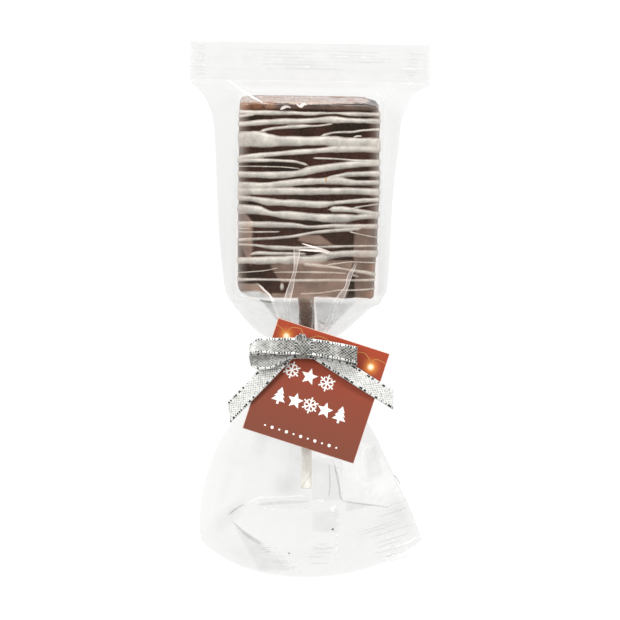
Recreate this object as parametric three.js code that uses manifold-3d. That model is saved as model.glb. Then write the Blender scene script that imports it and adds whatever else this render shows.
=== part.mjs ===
// A chocolate-covered crispy bar on a paper stick, in a clear film bag that is tied with a silver
// ribbon bow and carries a square gift tag. All sizes are in millimetres.
//
// The pop lies on its back. +Z is up and faces the drizzled side, +Y runs to the bag's sealed header,
// and the origin is on the surface that it lies on, below the middle of the whole.

import * as THREE from 'three';
import { mergeVertices } from 'three/addons/utils/BufferGeometryUtils.js';
import Module from 'manifold-3d';

const wasm = await Module();
wasm.setup();

// Driving dimensions: the bar
const barWidthTop = 53.6;
const barWidthFoot = 52;
const barTopY = 80.3;
const barLength = 74.9;
const barBackZ = 0.9;
const barFaceZ = 26.4;
const coatRadius = 1.9;
const crispSize = 5.2;
const coatRelief = 0.55;
const endRelief = 1.0;

// Driving dimensions: the stick and the chocolate that runs down on it
const stickDiameter = 4.2;
const stickLength = 114;
const stickShown = 74.7;
const stickAxisZ = 13.5;
const stickLean = THREE.MathUtils.degToRad(0.9);
const collarLength = 19.4;
const collarRadius = 3.0;
const roundSides = 16;

// Driving dimensions: the bag
const seamZ = 13.5;
const bagTopY = 101.4;
const headerFootY = 86.8;
const bagFrontZ = 28;
const neckY = -17;
const neckRadius = 4.4;
const skirtRadius = 89.6;
const pocketMargin = 1.35;
const pocketFloorZ = 0.6;
const slideGap = 0.3;

// The neck's place is kept while the bag is drawn, and then the whole moves so that its middle is at Y 0
const middleShift = 2.6;

// Driving dimensions: the ribbon and the tag
const ribbonWidth = 6.4;
const ribbonThickness = 0.5;
const knotCentre = new THREE.Vector3(-0.9, -13.4, 26.4);
const knotSize = new THREE.Vector3(7.6, 7.6, 4.4);
const loopTilt = THREE.MathUtils.degToRad(18);
const bandThickness = 0.9;
const bandWidth = 4.6;
const postRadius = 1.7;
const tagSide = 44.5;
const tagThickness = 0.45;
const tagCentre = new THREE.Vector3(4.1, -30.1, 23.05);
const tagTurn = THREE.MathUtils.degToRad(-17);
const tagHoleRadius = 2.6;

// Colours
const chocolateColour = 0x45302a;
const stickColour = 0xf4f0e6;
const filmColour = 0xf2f4f5;
const silverColour = 0xc4c5c0;
const tagColour = 0xb05240;

// Thick drizzle strands, from left to right: x, distance down from the bar's top edge, and width
const drizzle = [
  [[-27, 4.4, 1.3], [-20, 4.6, 1.9], [-10, 4.5, 1.8], [0, 4.6, 1.6], [9, 4.3, 1], [15, 4.6, 1.5],
    [27, 4.6, 1.7]],
  [[-27, 9, 2.2], [-20, 8.5, 2.3], [-10, 7.8, 2.3], [0, 7.3, 2.1], [8, 6.7, 2.6], [15, 7, 2],
    [27, 7, 2.1]],
  [[-27, 14.8, 6], [-20, 14.6, 5.8], [-15, 15, 4.5], [-5, 15.2, 3.6], [6, 14.8, 4], [15, 15.2, 3.8],
    [27, 15.3, 4.1]],
  [[-27, 21.9, 2], [-15, 20.3, 1.9], [-5, 19.2, 2], [5, 18.4, 2.1], [12, 17.8, 2.6], [27, 17.6, 2.9]],
  [[-27, 23, 1.6], [-15, 22.5, 1.5], [-7, 22.7, 1.2], [0, 24, 1.2]],
  [[-27, 27.9, 2.4], [-15, 28.1, 2.5], [-7, 27.7, 2.5], [0, 26.2, 3], [8, 24.7, 3], [16, 23.7, 2.5],
    [27, 22.9, 2.4]],
  [[6, 29, 1.3], [11, 27.9, 1.4], [15, 27.3, 2], [27, 26.7, 2.1]],
  [[-27, 32.2, 3], [-15, 31.9, 2.6], [-5, 30.6, 2.7], [5, 30, 2.9], [10, 29.7, 3], [16, 30.3, 2.3],
    [27, 30.1, 2.1]],
  [[-27, 34.5, 3.2], [-15, 34.2, 3], [0, 33.9, 2.8], [15, 33.6, 2.7], [27, 33.9, 3]],
  [[-27, 36.9, 2.2], [-21, 37.2, 2], [-15, 38.3, 3], [-5, 38.5, 2.7], [4, 38.9, 2.7], [11, 38, 1.8],
    [27, 36.6, 1.8]],
  [[7, 40.6, 1.8], [12, 40.4, 2], [18, 41, 1.8], [27, 42.3, 1.8]],
  [[-27, 41.2, 3.6], [-19, 41.3, 3.6], [-13, 42.7, 2.4], [-5, 43.3, 3.2], [13, 44, 3.1],
    [20, 43.3, 2.2], [27, 42.7, 3]],
  [[-27, 46.8, 2.2], [-15, 46.7, 2.4], [-5, 46.9, 2.1], [1, 47.4, 1.4], [10, 46.8, 1.6],
    [18, 46.9, 2.2], [27, 46.9, 2.2]],
  [[-27, 53, 1.4], [-15, 52.1, 1.2], [-5, 51, 1.3], [4, 49.3, 1.4], [12, 48.4, 1.4], [20, 47.9, 1]],
  [[-27, 54.5, 0.9], [-20, 54.7, 1], [-13, 55.5, 1.7], [-4, 55.7, 1.6], [5, 55, 1.2], [15, 54.5, 1],
    [27, 54.1, 1]],
  [[-27, 60.8, 2.8], [-15, 60.4, 3.1], [-5, 60.1, 3.8], [2, 59.6, 3.4], [9, 58.1, 3.3],
    [15, 57.3, 2.8], [27, 57.2, 3.4]],
  [[-2, 61.6, 1.6], [8, 62.4, 1.2], [15, 63.4, 1.1], [20, 64, 1.4], [27, 65.2, 1.7]],
  [[-27, 67.9, 1.6], [-15, 67.8, 1.1], [0, 67.8, 1.4], [15, 67.5, 1.1], [27, 67.2, 1.2]],
];

// Value of a [position, value] list at one position, straight between its entries
function valueAt(list, position) {
  const rising = [...list].sort((a, b) => a[0] - b[0]);
  if (position <= rising[0][0]) return rising[0][1];
  for (let i = 1; i < rising.length; i++) {
    if (position <= rising[i][0]) {
      const [fromPosition, fromValue] = rising[i - 1];
      const [toPosition, toValue] = rising[i];
      return THREE.MathUtils.mapLinear(position, fromPosition, toPosition, fromValue, toValue);
    }
  }
  return rising[rising.length - 1][1];
}

// Smooth random bumps between 0 and 1, one for each cell of the given size
function cellHeight(i, j, k) {
  const wave = Math.sin(i * 127.1 + j * 311.7 + k * 74.7) * 43758.5453;
  return wave - Math.floor(wave);
}

function bumps(point, size) {
  const scaled = point.clone().divideScalar(size);
  const base = scaled.clone().floor();
  const ease = (t) => t * t * (3 - 2 * t);
  const part = scaled.sub(base);
  let sum = 0;
  for (const [i, j, k] of [0, 1, 2, 3, 4, 5, 6, 7].map((n) => [n & 1, (n >> 1) & 1, n >> 2])) {
    const weightX = i ? ease(part.x) : 1 - ease(part.x);
    const weightY = j ? ease(part.y) : 1 - ease(part.y);
    const weightZ = k ? ease(part.z) : 1 - ease(part.z);
    sum += weightX * weightY * weightZ * cellHeight(base.x + i, base.y + j, base.z + k);
  }
  return sum;
}

// Solids and meshes
function toSolid(geometry) {
  geometry.deleteAttribute('normal');
  geometry.deleteAttribute('uv');
  const merged = mergeVertices(geometry, 1e-4);
  return new wasm.Manifold(new wasm.Mesh({
    numProp: 3,
    vertProperties: new Float32Array(merged.attributes.position.array),
    triVerts: new Uint32Array(merged.index.array),
  }));
}

function toGeometry(solid) {
  const mesh = solid.getMesh();
  const geometry = new THREE.BufferGeometry();
  geometry.setAttribute('position', new THREE.BufferAttribute(mesh.vertProperties, 3));
  geometry.setIndex(new THREE.BufferAttribute(mesh.triVerts, 1));
  geometry.computeVertexNormals();
  return geometry;
}

function signedVolume(points, index) {
  let volume = 0;
  for (let t = 0; t < index.length; t += 3) {
    const [a, b, c] = [points[index[t]], points[index[t + 1]], points[index[t + 2]]];
    volume += a.dot(b.clone().cross(c)) / 6;
  }
  return volume;
}

// A closed body through rings of equal length, where point i of a ring lies across from its i-th last
function loft(rings) {
  const count = rings[0].length;
  const half = count / 2;
  const points = rings.flat();
  const index = [];
  for (let r = 0; r + 1 < rings.length; r++) {
    for (let i = 0; i < count; i++) {
      const a = r * count + i;
      const b = r * count + ((i + 1) % count);
      index.push(a, b, b + count, a, b + count, a + count);
    }
  }
  const last = (rings.length - 1) * count;
  for (let i = 0; i < half; i++) {
    const across = (count - i) % count;
    const nextAcross = count - i - 1;
    if (across !== i) {
      index.push(i + 1, i, across);
      index.push(last + i, last + i + 1, last + across);
    }
    if (nextAcross !== i + 1) {
      index.push(i + 1, across, nextAcross);
      index.push(last + across, last + i + 1, last + nextAcross);
    }
  }
  if (signedVolume(points, index) < 0) index.reverse();
  const geometry = new THREE.BufferGeometry();
  geometry.setFromPoints(points);
  geometry.setIndex(index);
  return geometry;
}

function rod(radius, length, sides) {
  return new THREE.CylinderGeometry(radius, radius, length, sides);
}

// The bar
function barHalfWidth(y) {
  const barFootY = barTopY - barLength;
  return THREE.MathUtils.mapLinear(y, barFootY, barTopY, barWidthFoot / 2, barWidthTop / 2);
}

// A box with rounded edges, its faces raised and dented by the crisps under the coat
function coatedBar() {
  const thickness = barFaceZ - barBackZ;
  const centre = new THREE.Vector3(0, barTopY - barLength / 2, barBackZ + thickness / 2);
  const geometry = new THREE.BoxGeometry(barWidthTop, barLength, thickness, 13, 19, 6);
  const half = new THREE.Vector3(barWidthTop, barLength, thickness).divideScalar(2);
  const inner = half.clone().subScalar(coatRadius);
  const position = geometry.attributes.position;
  for (let i = 0; i < position.count; i++) {
    const corner = new THREE.Vector3().fromBufferAttribute(position, i);
    const core = corner.clone().clamp(inner.clone().negate(), inner);
    const outward = corner.clone().sub(core).normalize();
    const relief = coatRelief + (endRelief - coatRelief) * Math.abs(outward.y);
    const depth = relief * (bumps(corner.clone().add(centre), crispSize) - 1);
    const flatBack = outward.z < -0.5 ? 0 : depth;
    const placed = core.addScaledVector(outward, coatRadius + flatBack).add(centre);
    const taper = barHalfWidth(placed.y) / (barWidthTop / 2);
    position.setXYZ(i, placed.x * taper, placed.y, placed.z);
  }
  return toSolid(geometry);
}

// Place and outward direction on the bar's front and sides, for a run that goes on past the edges
function onCoat(run, y) {
  const edge = barHalfWidth(y) - coatRadius;
  const arc = coatRadius * Math.PI / 2;
  const side = Math.sign(run);
  const past = Math.abs(run) - edge;
  const turn = THREE.MathUtils.clamp(past / arc, 0, 1) * Math.PI / 2;
  const down = Math.max(past - arc, 0);
  const x = past > 0 ? side * (edge + coatRadius * Math.sin(turn)) : run;
  const z = barFaceZ - coatRadius * (1 - Math.cos(turn)) - down;
  return {
    place: new THREE.Vector3(x, y, z),
    outward: new THREE.Vector3(side * Math.sin(turn), 0, Math.cos(turn)),
  };
}

// A strand of drizzle: half-round, laid across the face and running some way down the bar's sides
function strandSolid(strand, order) {
  const sides = 6;
  const sink = 0.75;
  const sideRun = 3 + 4 * cellHeight(order, 1, 2);
  const faceEnd = barWidthTop / 2 - coatRadius;
  const arc = coatRadius * Math.PI / 2;
  const route = new THREE.CatmullRomCurve3(
    strand.map(([x, down, width]) => new THREE.Vector3(x, barTopY - down, width)),
  );
  const stationGap = 5.5;
  const steps = Math.max(3, Math.round((strand[strand.length - 1][0] - strand[0][0]) / stationGap));
  const stations = route.getPoints(steps).map((p) => ({ run: p.x, y: p.y, width: p.z }));
  const reaches = (station) => Math.abs(station.run) > faceEnd;
  const spill = ({ run, y, width }) => [
    { run: Math.sign(run) * (faceEnd + arc), y, width },
    { run: Math.sign(run) * (faceEnd + arc + sideRun), y: y - 0.4, width },
  ];
  const first = stations[0];
  const last = stations[stations.length - 1];
  const whole = [
    ...(reaches(first) ? spill(first).reverse() : []),
    ...stations,
    ...(reaches(last) ? spill(last) : []),
  ];
  const rings = whole.map((station, i) => {
    const taper = i === 0 || i === whole.length - 1 ? 0.55 : 1;
    const wide = station.width * taper / 2;
    const high = Math.min(1.05, 0.34 + 0.3 * wide) * taper;
    const { place, outward } = onCoat(station.run, station.y);
    const ring = [];
    for (let s = 0; s < sides; s++) {
      const angle = (s / sides) * Math.PI * 2;
      const lift = Math.sin(angle) * (high + sink / 2) + (high - sink) / 2;
      ring.push(place.clone().addScaledVector(outward, lift).setY(place.y + Math.cos(angle) * wide));
    }
    return ring;
  });
  return toSolid(loft(rings));
}

// The stick's own frame: its axis is Y, and it starts where the stick leaves the bar
function alongStick(geometry, fromY) {
  geometry.translate(0, fromY, 0);
  geometry.rotateZ(stickLean);
  geometry.translate(0, barTopY - barLength, stickAxisZ);
  return geometry;
}

// Chocolate that ran down on the stick: an uneven sleeve
function collarSolid() {
  const overlap = 4;
  const rows = 9;
  const geometry = new THREE.CylinderGeometry(
    collarRadius, collarRadius, collarLength + overlap, roundSides, rows,
  );
  const position = geometry.attributes.position;
  for (let i = 0; i < position.count; i++) {
    const point = new THREE.Vector3().fromBufferAttribute(position, i);
    const away = Math.hypot(point.x, point.z);
    if (away < collarRadius / 2) continue;
    const swell = 0.95 + 0.16 * bumps(point, 3.4);
    position.setXYZ(i, point.x * swell, point.y, point.z * swell);
  }
  return toSolid(alongStick(geometry, overlap - (collarLength + overlap) / 2));
}

function crispyBar() {
  let solid = coatedBar();
  drizzle.forEach((strand, order) => {
    solid = solid.add(strandSolid(strand, order));
  });
  solid = solid.add(collarSolid());
  const boreLength = stickLength + 2;
  const bore = alongStick(
    rod(stickDiameter / 2 + slideGap, boreLength, roundSides),
    stickLength - stickShown + slideGap - boreLength / 2,
  );
  return toGeometry(solid.subtract(toSolid(bore)));
}

// The bag: half widths, heights and flat part of its section, by place along Y
const bagLeft = [
  [bagTopY, 45.7], [headerFootY, 45.7], [83, 42], [79.4, 39.4], [72, 36.8], [65, 36], [41, 34.6],
  [26, 33.6], [14, 32.2], [8, 31.4], [4.8, 30.4], [-0.4, 26.6], [-4.8, 22.8], [-8, 19.6], [-10.4, 16.4],
  [-12.6, 10], [-14.4, neckRadius],
];
const bagRight = [
  [bagTopY, 45.3], [headerFootY, 45], [83, 39.6], [79.4, 37.4], [72, 34.6], [65, 34], [41, 31.9],
  [26, 31.4], [11, 30.8], [7, 30.2], [3.4, 27], [-0.4, 22.9], [-4.2, 18.9], [-8, 14.8], [-11, 10.6],
  [-13, 7.5], [-14.4, neckRadius],
];
const bagFront = [
  [bagTopY, seamZ + 0.3], [headerFootY, seamZ + 0.3], [84.2, 21], [81.9, bagFrontZ], [4.4, bagFrontZ],
  [2, 25.6], [-3, 21.9], [-8, 19.7], [-12, 18.7], [-14.4, seamZ + neckRadius],
];
const bagBack = [
  [bagTopY, seamZ - 0.3], [headerFootY, seamZ - 0.3], [84.2, 6.5], [81.9, 0], [4.4, 0], [2, 1],
  [-3, 3.2], [-8, 5.6], [-12, 7.8], [-14.4, seamZ - neckRadius],
];
const bagFlat = [
  [bagTopY, 44.5], [headerFootY, 44], [84.2, 31], [81.9, 28.9], [4.4, 28.4], [0, 18], [-6, 6], [-14.4, 0],
];
const bagRoundness = [[bagTopY, 0], [headerFootY, 0], [81.9, 0.25], [4.4, 0.25], [-6, 0.6], [-14.4, 1]];
const bagStations = [
  bagTopY, headerFootY, 84.2, 81.9, 79.4, 72, 65, 41, 26, 11, 7, 4.4, 2, -0.4, -3, -5.5, -8, -11, -13,
  -14.4, -19.6,
];

// The skirt below the tie, a fan round the neck: its side angles in degrees and heights, by radius
const skirtLeft = [
  [6, 60], [12, 52], [22, 48], [34, 45.5], [48, 42.8], [61, 38.6], [73, 34.3], [84, 30.1], [89.5, 27.6],
];
const skirtRight = [
  [6, 60], [12, 50], [22, 45], [34, 42], [43, 40], [50, 38], [63, 35.4], [76, 33.9], [89.5, 32],
];
const skirtCrown = [
  [6, 17.9], [20, 19], [38, 19.6], [50, 17.6], [62, 13.4], [73, 8.8], [84, 4.4], [90, 2.2],
];
const skirtEdge = [[6, 13], [20, 9.5], [40, 5.6], [62, 3.2], [90, 1.2]];
const skirtBelly = [[6, 9.3], [14, 6], [24, 3.2], [36, 1], [50, 0.3], [90, 0.3]];
const skirtRadii = [7.5, 12, 20, 30, 40, 50, 57, 65, 73, 80, 85.5, skirtRadius];
const skirtFolds = 3.5;
const skirtFoldHeight = 1.1;

const slopeSteps = 3;
const flatSteps = 8;
const neckSlopeShare = 0.35;
const hemRiseLeft = 4.2;
const hemRiseRight = 2.2;

// Columns across the bag from -1 at the left crease to 1 at the right one
function columns() {
  const steps = 2 * slopeSteps + flatSteps;
  return Array.from({ length: steps + 1 }, (_, i) => {
    const past = i - slopeSteps - flatSteps;
    if (i <= slopeSteps) return { side: -1, slope: 1 - i / slopeSteps, flat: 1 };
    if (past >= 0) return { side: 1, slope: past / slopeSteps, flat: 1 };
    const across = ((i - slopeSteps) / flatSteps) * 2 - 1;
    return { side: Math.sign(across), slope: 0, flat: Math.abs(across) };
  });
}

// A ring from the left crease over the front to the right crease, and back along the underside
function ringOf(front, back) {
  return [...front, ...back.slice(1, -1).reverse()];
}

function bodyRing(y) {
  const rows = { front: [], back: [] };
  for (const { side, slope, flat } of columns()) {
    const halfWidth = valueAt(side < 0 ? bagLeft : bagRight, y);
    const flatWidth = Math.min(valueAt(bagFlat, y), halfWidth - 0.4);
    const fall = THREE.MathUtils.lerp(1 - slope, Math.sqrt(1 - slope * slope), valueAt(bagRoundness, y));
    const round = Math.max(valueAt(bagRoundness, y) - 0.5, 0) * 2;
    const reach = Math.max(flatWidth, 0) * flat + (halfWidth - Math.max(flatWidth, 0)) * slope;
    const angle = ((1 - slope) * neckSlopeShare + (1 - flat) * (1 - neckSlopeShare)) * Math.PI / 2;
    const x = side * THREE.MathUtils.lerp(reach, halfWidth * Math.cos(angle), round);
    const height = THREE.MathUtils.lerp(fall, Math.sin(angle), round);
    rows.front.push(new THREE.Vector3(x, y, seamZ + (valueAt(bagFront, y) - seamZ) * height));
    rows.back.push(new THREE.Vector3(x, y, seamZ + (valueAt(bagBack, y) - seamZ) * height));
  }
  return ringOf(rows.front, rows.back);
}

function skirtRing(radius) {
  const rows = { front: [], back: [] };
  const all = columns();
  all.forEach((_, i) => {
    const across = (i / (all.length - 1)) * 2 - 1;
    const openAngle = valueAt(across < 0 ? skirtLeft : skirtRight, radius);
    const angle = THREE.MathUtils.degToRad(across * openAngle);
    const rise = across < 0 ? hemRiseLeft : hemRiseRight;
    const reach = radius - rise * (radius / skirtRadius) * Math.abs(across) ** 3;
    const x = reach * Math.sin(angle);
    const y = neckY - reach * Math.cos(angle);
    const edge = valueAt(skirtEdge, radius);
    const bulge = 1 - Math.abs(across) ** 1.4;
    const spread = Math.sin(Math.PI * Math.min(radius / skirtRadius, 1));
    const fold = skirtFoldHeight * spread * Math.cos(across * Math.PI * skirtFolds) * (1 - across * across);
    const front = edge + (valueAt(skirtCrown, radius) - edge) * bulge + fold;
    const back = edge + (valueAt(skirtBelly, radius) - edge) * Math.sqrt(Math.max(bulge, 0));
    rows.front.push(new THREE.Vector3(x, y, front));
    rows.back.push(new THREE.Vector3(x, y, Math.min(back, edge)));
  });
  return ringOf(rows.front, rows.back);
}

// The bag's outer form, with a pocket for the bar that is open at the front and a bore for the stick
function filmBag() {
  const rings = [...bagStations.map(bodyRing), ...skirtRadii.map(skirtRing)];
  const outer = toSolid(loft(rings));
  const pocketHeight = 40;
  const pocket = new THREE.BoxGeometry(
    barWidthTop + 2 * pocketMargin, barLength + 2 * slideGap + 0.6, pocketHeight,
  );
  pocket.translate(0, barTopY - barLength / 2, pocketFloorZ + pocketHeight / 2);
  const collarBore = alongStick(
    rod(collarRadius * 1.11 + slideGap, collarLength + 6, roundSides),
    5.4 - (collarLength + 6) / 2,
  );
  const stickBore = alongStick(
    rod(stickDiameter / 2 + slideGap, stickShown + 6, roundSides),
    5.4 - (stickShown + 6) / 2,
  );
  const hollow = [pocket, collarBore, stickBore].map(toSolid);
  return toGeometry(hollow.reduce((solid, cut) => solid.subtract(cut), outer));
}

// The ribbon: a flat strip along a route of points, with the direction of its width at each
function ribbonStrip(places, widthDirections) {
  const rings = places.map((place, i) => {
    const before = places[Math.max(i - 1, 0)];
    const after = places[Math.min(i + 1, places.length - 1)];
    const along = after.clone().sub(before).normalize();
    const across = widthDirections[i].clone().normalize();
    const normal = along.clone().cross(across).normalize();
    const corner = (w, n) => place.clone()
      .addScaledVector(across, (w * ribbonWidth) / 2)
      .addScaledVector(normal, (n * ribbonThickness) / 2);
    return [corner(-1, -1), corner(1, -1), corner(1, 1), corner(-1, 1)];
  });
  return toSolid(loft(rings));
}

// A bow loop: a drop-shaped turn out to one side of the knot and back, with its back half hanging lower
function bowLoop({ side, reach, depth, fallY, liftZ, hang }) {
  const steps = 14;
  const rootRise = 0.8;
  const back = new THREE.Vector3(0, -Math.sin(loopTilt), -Math.cos(loopTilt));
  const across = new THREE.Vector3(0, Math.cos(loopTilt), -Math.sin(loopTilt));
  const places = [];
  for (let i = 0; i <= steps; i++) {
    const turn = (i / steps) * Math.PI;
    const open = Math.max(Math.sin(turn), 0);
    const half = Math.sign(Math.cos(turn)) * Math.abs(Math.cos(turn)) ** 0.45;
    const apart = (-half * depth / 2) * (0.1 + 0.9 * Math.sqrt(open));
    const onBack = THREE.MathUtils.smoothstep(-Math.cos(turn), 0, 0.33);
    const down = rootRise + fallY * open - hang * onBack * THREE.MathUtils.smoothstep(open, 0, 0.6);
    places.push(knotCentre.clone()
      .add(new THREE.Vector3(side * reach * open ** 0.8, down, liftZ * Math.sqrt(open)))
      .addScaledVector(back, apart));
  }
  return ribbonStrip(places, places.map(() => across));
}

// A tail: nearly flat on the tag, from the knot out to its cut end, with an arch along its length
function bowTail({ start, end, arch }) {
  const steps = 7;
  const direction = end.clone().sub(start);
  const across = new THREE.Vector3(-direction.y, direction.x, 0);
  const places = [];
  for (let i = 0; i <= steps; i++) {
    const share = i / steps;
    const rise = new THREE.Vector3(0, 0, arch * Math.sin(share * Math.PI));
    places.push(start.clone().lerp(end, share).add(rise));
  }
  return ribbonStrip(places, places.map(() => across));
}

function knotSolid() {
  const geometry = new THREE.SphereGeometry(0.5, 12, 8);
  const position = geometry.attributes.position;
  for (let i = 0; i < position.count; i++) {
    const point = new THREE.Vector3().fromBufferAttribute(position, i).multiplyScalar(2);
    const square = (v, size) => Math.sign(v) * Math.abs(v) ** 0.6 * size / 2;
    const placed = [square(point.x, knotSize.x), square(point.y, knotSize.y), square(point.z, knotSize.z)];
    position.setXYZ(i, ...placed);
  }
  geometry.translate(knotCentre.x, knotCentre.y, knotCentre.z);
  return toSolid(geometry);
}

// The band round the bag's neck, and the ribbon that rises from it through the tag's hole to the knot
function bandSolid() {
  const inner = neckRadius + slideGap;
  const outer = inner + bandThickness;
  const profile = [
    new THREE.Vector2(inner, -bandWidth / 2), new THREE.Vector2(outer, -bandWidth / 2),
    new THREE.Vector2(outer, bandWidth / 2), new THREE.Vector2(inner, bandWidth / 2),
    new THREE.Vector2(inner, -bandWidth / 2),
  ];
  const ring = new THREE.LatheGeometry(profile, 24);
  ring.translate(0, neckY, seamZ);
  const bridgeZ = seamZ + outer - 0.2;
  const bridgeLength = 4.6;
  const bridge = new THREE.BoxGeometry(2 * postRadius, bridgeLength, bandThickness);
  bridge.translate(knotCentre.x, neckY + bridgeLength / 2, bridgeZ + bandThickness / 2);
  const post = rod(postRadius, knotCentre.z - bridgeZ, 10);
  post.rotateX(Math.PI / 2);
  post.translate(knotCentre.x, knotCentre.y - 0.6, (knotCentre.z + bridgeZ) / 2);
  return toSolid(ring).add(toSolid(post)).add(toSolid(bridge));
}

function ribbonBow() {
  const leftLoop = bowLoop({ side: -1, reach: 20.4, depth: 5.4, fallY: -0.8, liftZ: 1.2, hang: 4.9 });
  const rightLoop = bowLoop({ side: 1, reach: 20.3, depth: 4.4, fallY: -3.1, liftZ: 0.8, hang: 0.7 });
  const leftTail = bowTail({
    start: new THREE.Vector3(-3.8, -11.4, 24.8),
    end: new THREE.Vector3(-28.8, -38.9, 23.4),
    arch: 1,
  });
  const rightTail = bowTail({
    start: new THREE.Vector3(1.6, -13, 24.8),
    end: new THREE.Vector3(33.5, -32.9, 23.6),
    arch: 1,
  });
  return toGeometry([leftLoop, rightLoop, leftTail, rightTail, bandSolid()]
    .reduce((solid, piece) => solid.add(piece), knotSolid()));
}

// The tag: a square card turned in its plane, with the hole that the ribbon comes through
function giftTag() {
  const half = tagSide / 2;
  const outline = new THREE.Shape([
    new THREE.Vector2(-half, -half), new THREE.Vector2(half, -half),
    new THREE.Vector2(half, half), new THREE.Vector2(-half, half),
  ]);
  const fromCentre = new THREE.Vector2(knotCentre.x - tagCentre.x, knotCentre.y - 0.6 - tagCentre.y);
  fromCentre.rotateAround(new THREE.Vector2(), -tagTurn);
  const hole = new THREE.Path();
  hole.absarc(fromCentre.x, fromCentre.y, tagHoleRadius, 0, Math.PI * 2, true);
  outline.holes.push(hole);
  const options = { depth: tagThickness, bevelEnabled: false, curveSegments: 16 };
  const card = new THREE.ExtrudeGeometry(outline, options);
  card.translate(0, 0, -tagThickness / 2);
  return card;
}

function surface(color, roughness, metalness = 0) {
  return new THREE.MeshStandardMaterial({ color, roughness, metalness });
}

function piece(name, geometry, material) {
  const mesh = new THREE.Mesh(geometry, material);
  mesh.name = name;
  return mesh;
}

const film = surface(filmColour, 0.08);
film.transparent = true;
film.opacity = 0.25;

const bar = piece('crispy_bar', crispyBar(), surface(chocolateColour, 0.35));
const stick = piece('stick', rod(stickDiameter / 2, stickLength, roundSides), surface(stickColour, 0.8));
stick.position.y = stickLength / 2 - stickShown;
const stickFrame = new THREE.Group();
stickFrame.position.set(0, barTopY - barLength, stickAxisZ);
stickFrame.rotation.z = stickLean;
stickFrame.add(stick);
const bag = piece('film_bag', filmBag(), film);
const bow = piece('ribbon_bow', ribbonBow(), surface(silverColour, 0.3, 0.8));
const tag = piece('gift_tag', giftTag(), surface(tagColour, 0.5));
tag.position.copy(tagCentre);
tag.rotation.z = tagTurn;

const pop = new THREE.Group();
pop.add(bar, stickFrame, bag, bow, tag);
for (const child of pop.children) child.position.y += middleShift;

export default pop;
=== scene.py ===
"""A chocolate-covered crispy pop in a clear film bag with a silver bow and a gift tag, ready to render.

Lengths are in millimetres and turn into metres where a mesh is made. The pop lies on its back: +Z is up
and out of the drizzled side, +Y runs to the bag's sealed header.
"""

import math

import bpy
import numpy as np
from mathutils import Matrix, Vector
from mathutils.bvhtree import BVHTree


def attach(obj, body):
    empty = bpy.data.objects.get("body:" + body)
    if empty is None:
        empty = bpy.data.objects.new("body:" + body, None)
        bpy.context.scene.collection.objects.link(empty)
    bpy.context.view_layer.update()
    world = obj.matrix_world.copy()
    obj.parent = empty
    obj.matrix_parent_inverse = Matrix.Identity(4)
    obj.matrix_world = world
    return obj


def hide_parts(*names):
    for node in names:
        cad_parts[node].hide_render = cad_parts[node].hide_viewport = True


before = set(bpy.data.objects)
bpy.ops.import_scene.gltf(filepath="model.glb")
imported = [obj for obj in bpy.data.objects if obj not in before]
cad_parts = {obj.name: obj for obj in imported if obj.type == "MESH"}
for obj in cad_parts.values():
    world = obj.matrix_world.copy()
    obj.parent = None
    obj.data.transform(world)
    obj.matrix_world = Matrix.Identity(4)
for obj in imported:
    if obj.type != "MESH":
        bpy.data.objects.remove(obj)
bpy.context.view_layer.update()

MM = 0.001

# The bar, as in the solids
BAR_WIDTH_TOP = 53.6
BAR_WIDTH_FOOT = 52.0
BAR_TOP_Y = 80.3
BAR_LENGTH = 74.9
BAR_FOOT_Y = BAR_TOP_Y - BAR_LENGTH
BAR_BACK_Z = 0.9
BAR_FACE_Z = 26.4
COAT_RADIUS = 1.9
CRISP_SIZE = 5.2
COAT_RELIEF = 0.55
END_RELIEF = 1.0

# The stick, and the chocolate that ran down on it
STICK_RADIUS = 2.1
STICK_LENGTH = 114.0
STICK_SHOWN = 74.7
STICK_Z = 13.5
STICK_LEAN = math.radians(0.9)
COLLAR_LENGTH = 19.4
COLLAR_RADIUS = 3.0

# The bag; it lies flat over the bar between the flat part's top and foot
SEAM_Z = 13.5
BAG_TOP_Y = 101.4
HEADER_FOOT_Y = 86.8
FLAT_TOP_Y = 81.9
FLAT_FOOT_Y = 4.4
BAG_FRONT_Z = 28.0
NECK_Y = -17.0
NECK_END_Y = -19.6
NECK_RADIUS = 4.4
SKIRT_START = 7.5
SKIRT_RADIUS = 89.6
HEM_RISE_LEFT = 4.2
HEM_RISE_RIGHT = 2.2

# The ribbon and the tag
RIBBON_WIDTH = 6.4
RIBBON_THICKNESS = 0.24
MESH_LENGTH = 1.35
MESH_WIDTH = 1.05
DASH_LENGTH = 1.0
KNOT = np.array([-0.9, -13.4, 26.4])
LOOP_TILT = math.radians(18)
TAG_SIDE = 44.5
TAG_THICKNESS = 0.45
TAG_CENTRE = np.array([4.1, -30.1, 23.05])
TAG_TURN = math.radians(-17)
TAG_HOLE_RADIUS = 2.6

# All is drawn from the neck's place, and moves by this where it is made, so that its middle is at Y 0
MIDDLE_SHIFT = np.array([0, 2.6, 0])

# The camera: it looks down and a little from the header's side, at the scale of 0.38 mm for a pixel
PIXEL = 0.38
FRAME_PIXELS = 620
CAMERA_DISTANCE = 1400.0
CAMERA_TILT = math.radians(7.3)
CAMERA_ROLL = math.radians(1.0)
CAMERA_TARGET = np.array([1.3, 0.5, 20.0])
SENSOR = 36.0


# Points and directions
def coords(*parts):
    """The parts, arrays or numbers, side by side as the coordinates of points."""
    return np.stack(np.broadcast_arrays(*parts), -1)


def unit(vectors):
    """The vectors at length 1."""
    return vectors / np.linalg.norm(vectors, axis=1)[:, None]


def run_along(points):
    """The way along a line to each of its points."""
    return np.concatenate([[0], np.cumsum(np.linalg.norm(np.diff(points, axis=0), axis=1))])


# Curves through named values
def line_at(pairs, where):
    """Straight between the (place, value) pairs."""
    rising = sorted(pairs)
    return np.interp(where, [p[0] for p in rising], [p[1] for p in rising])


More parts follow.
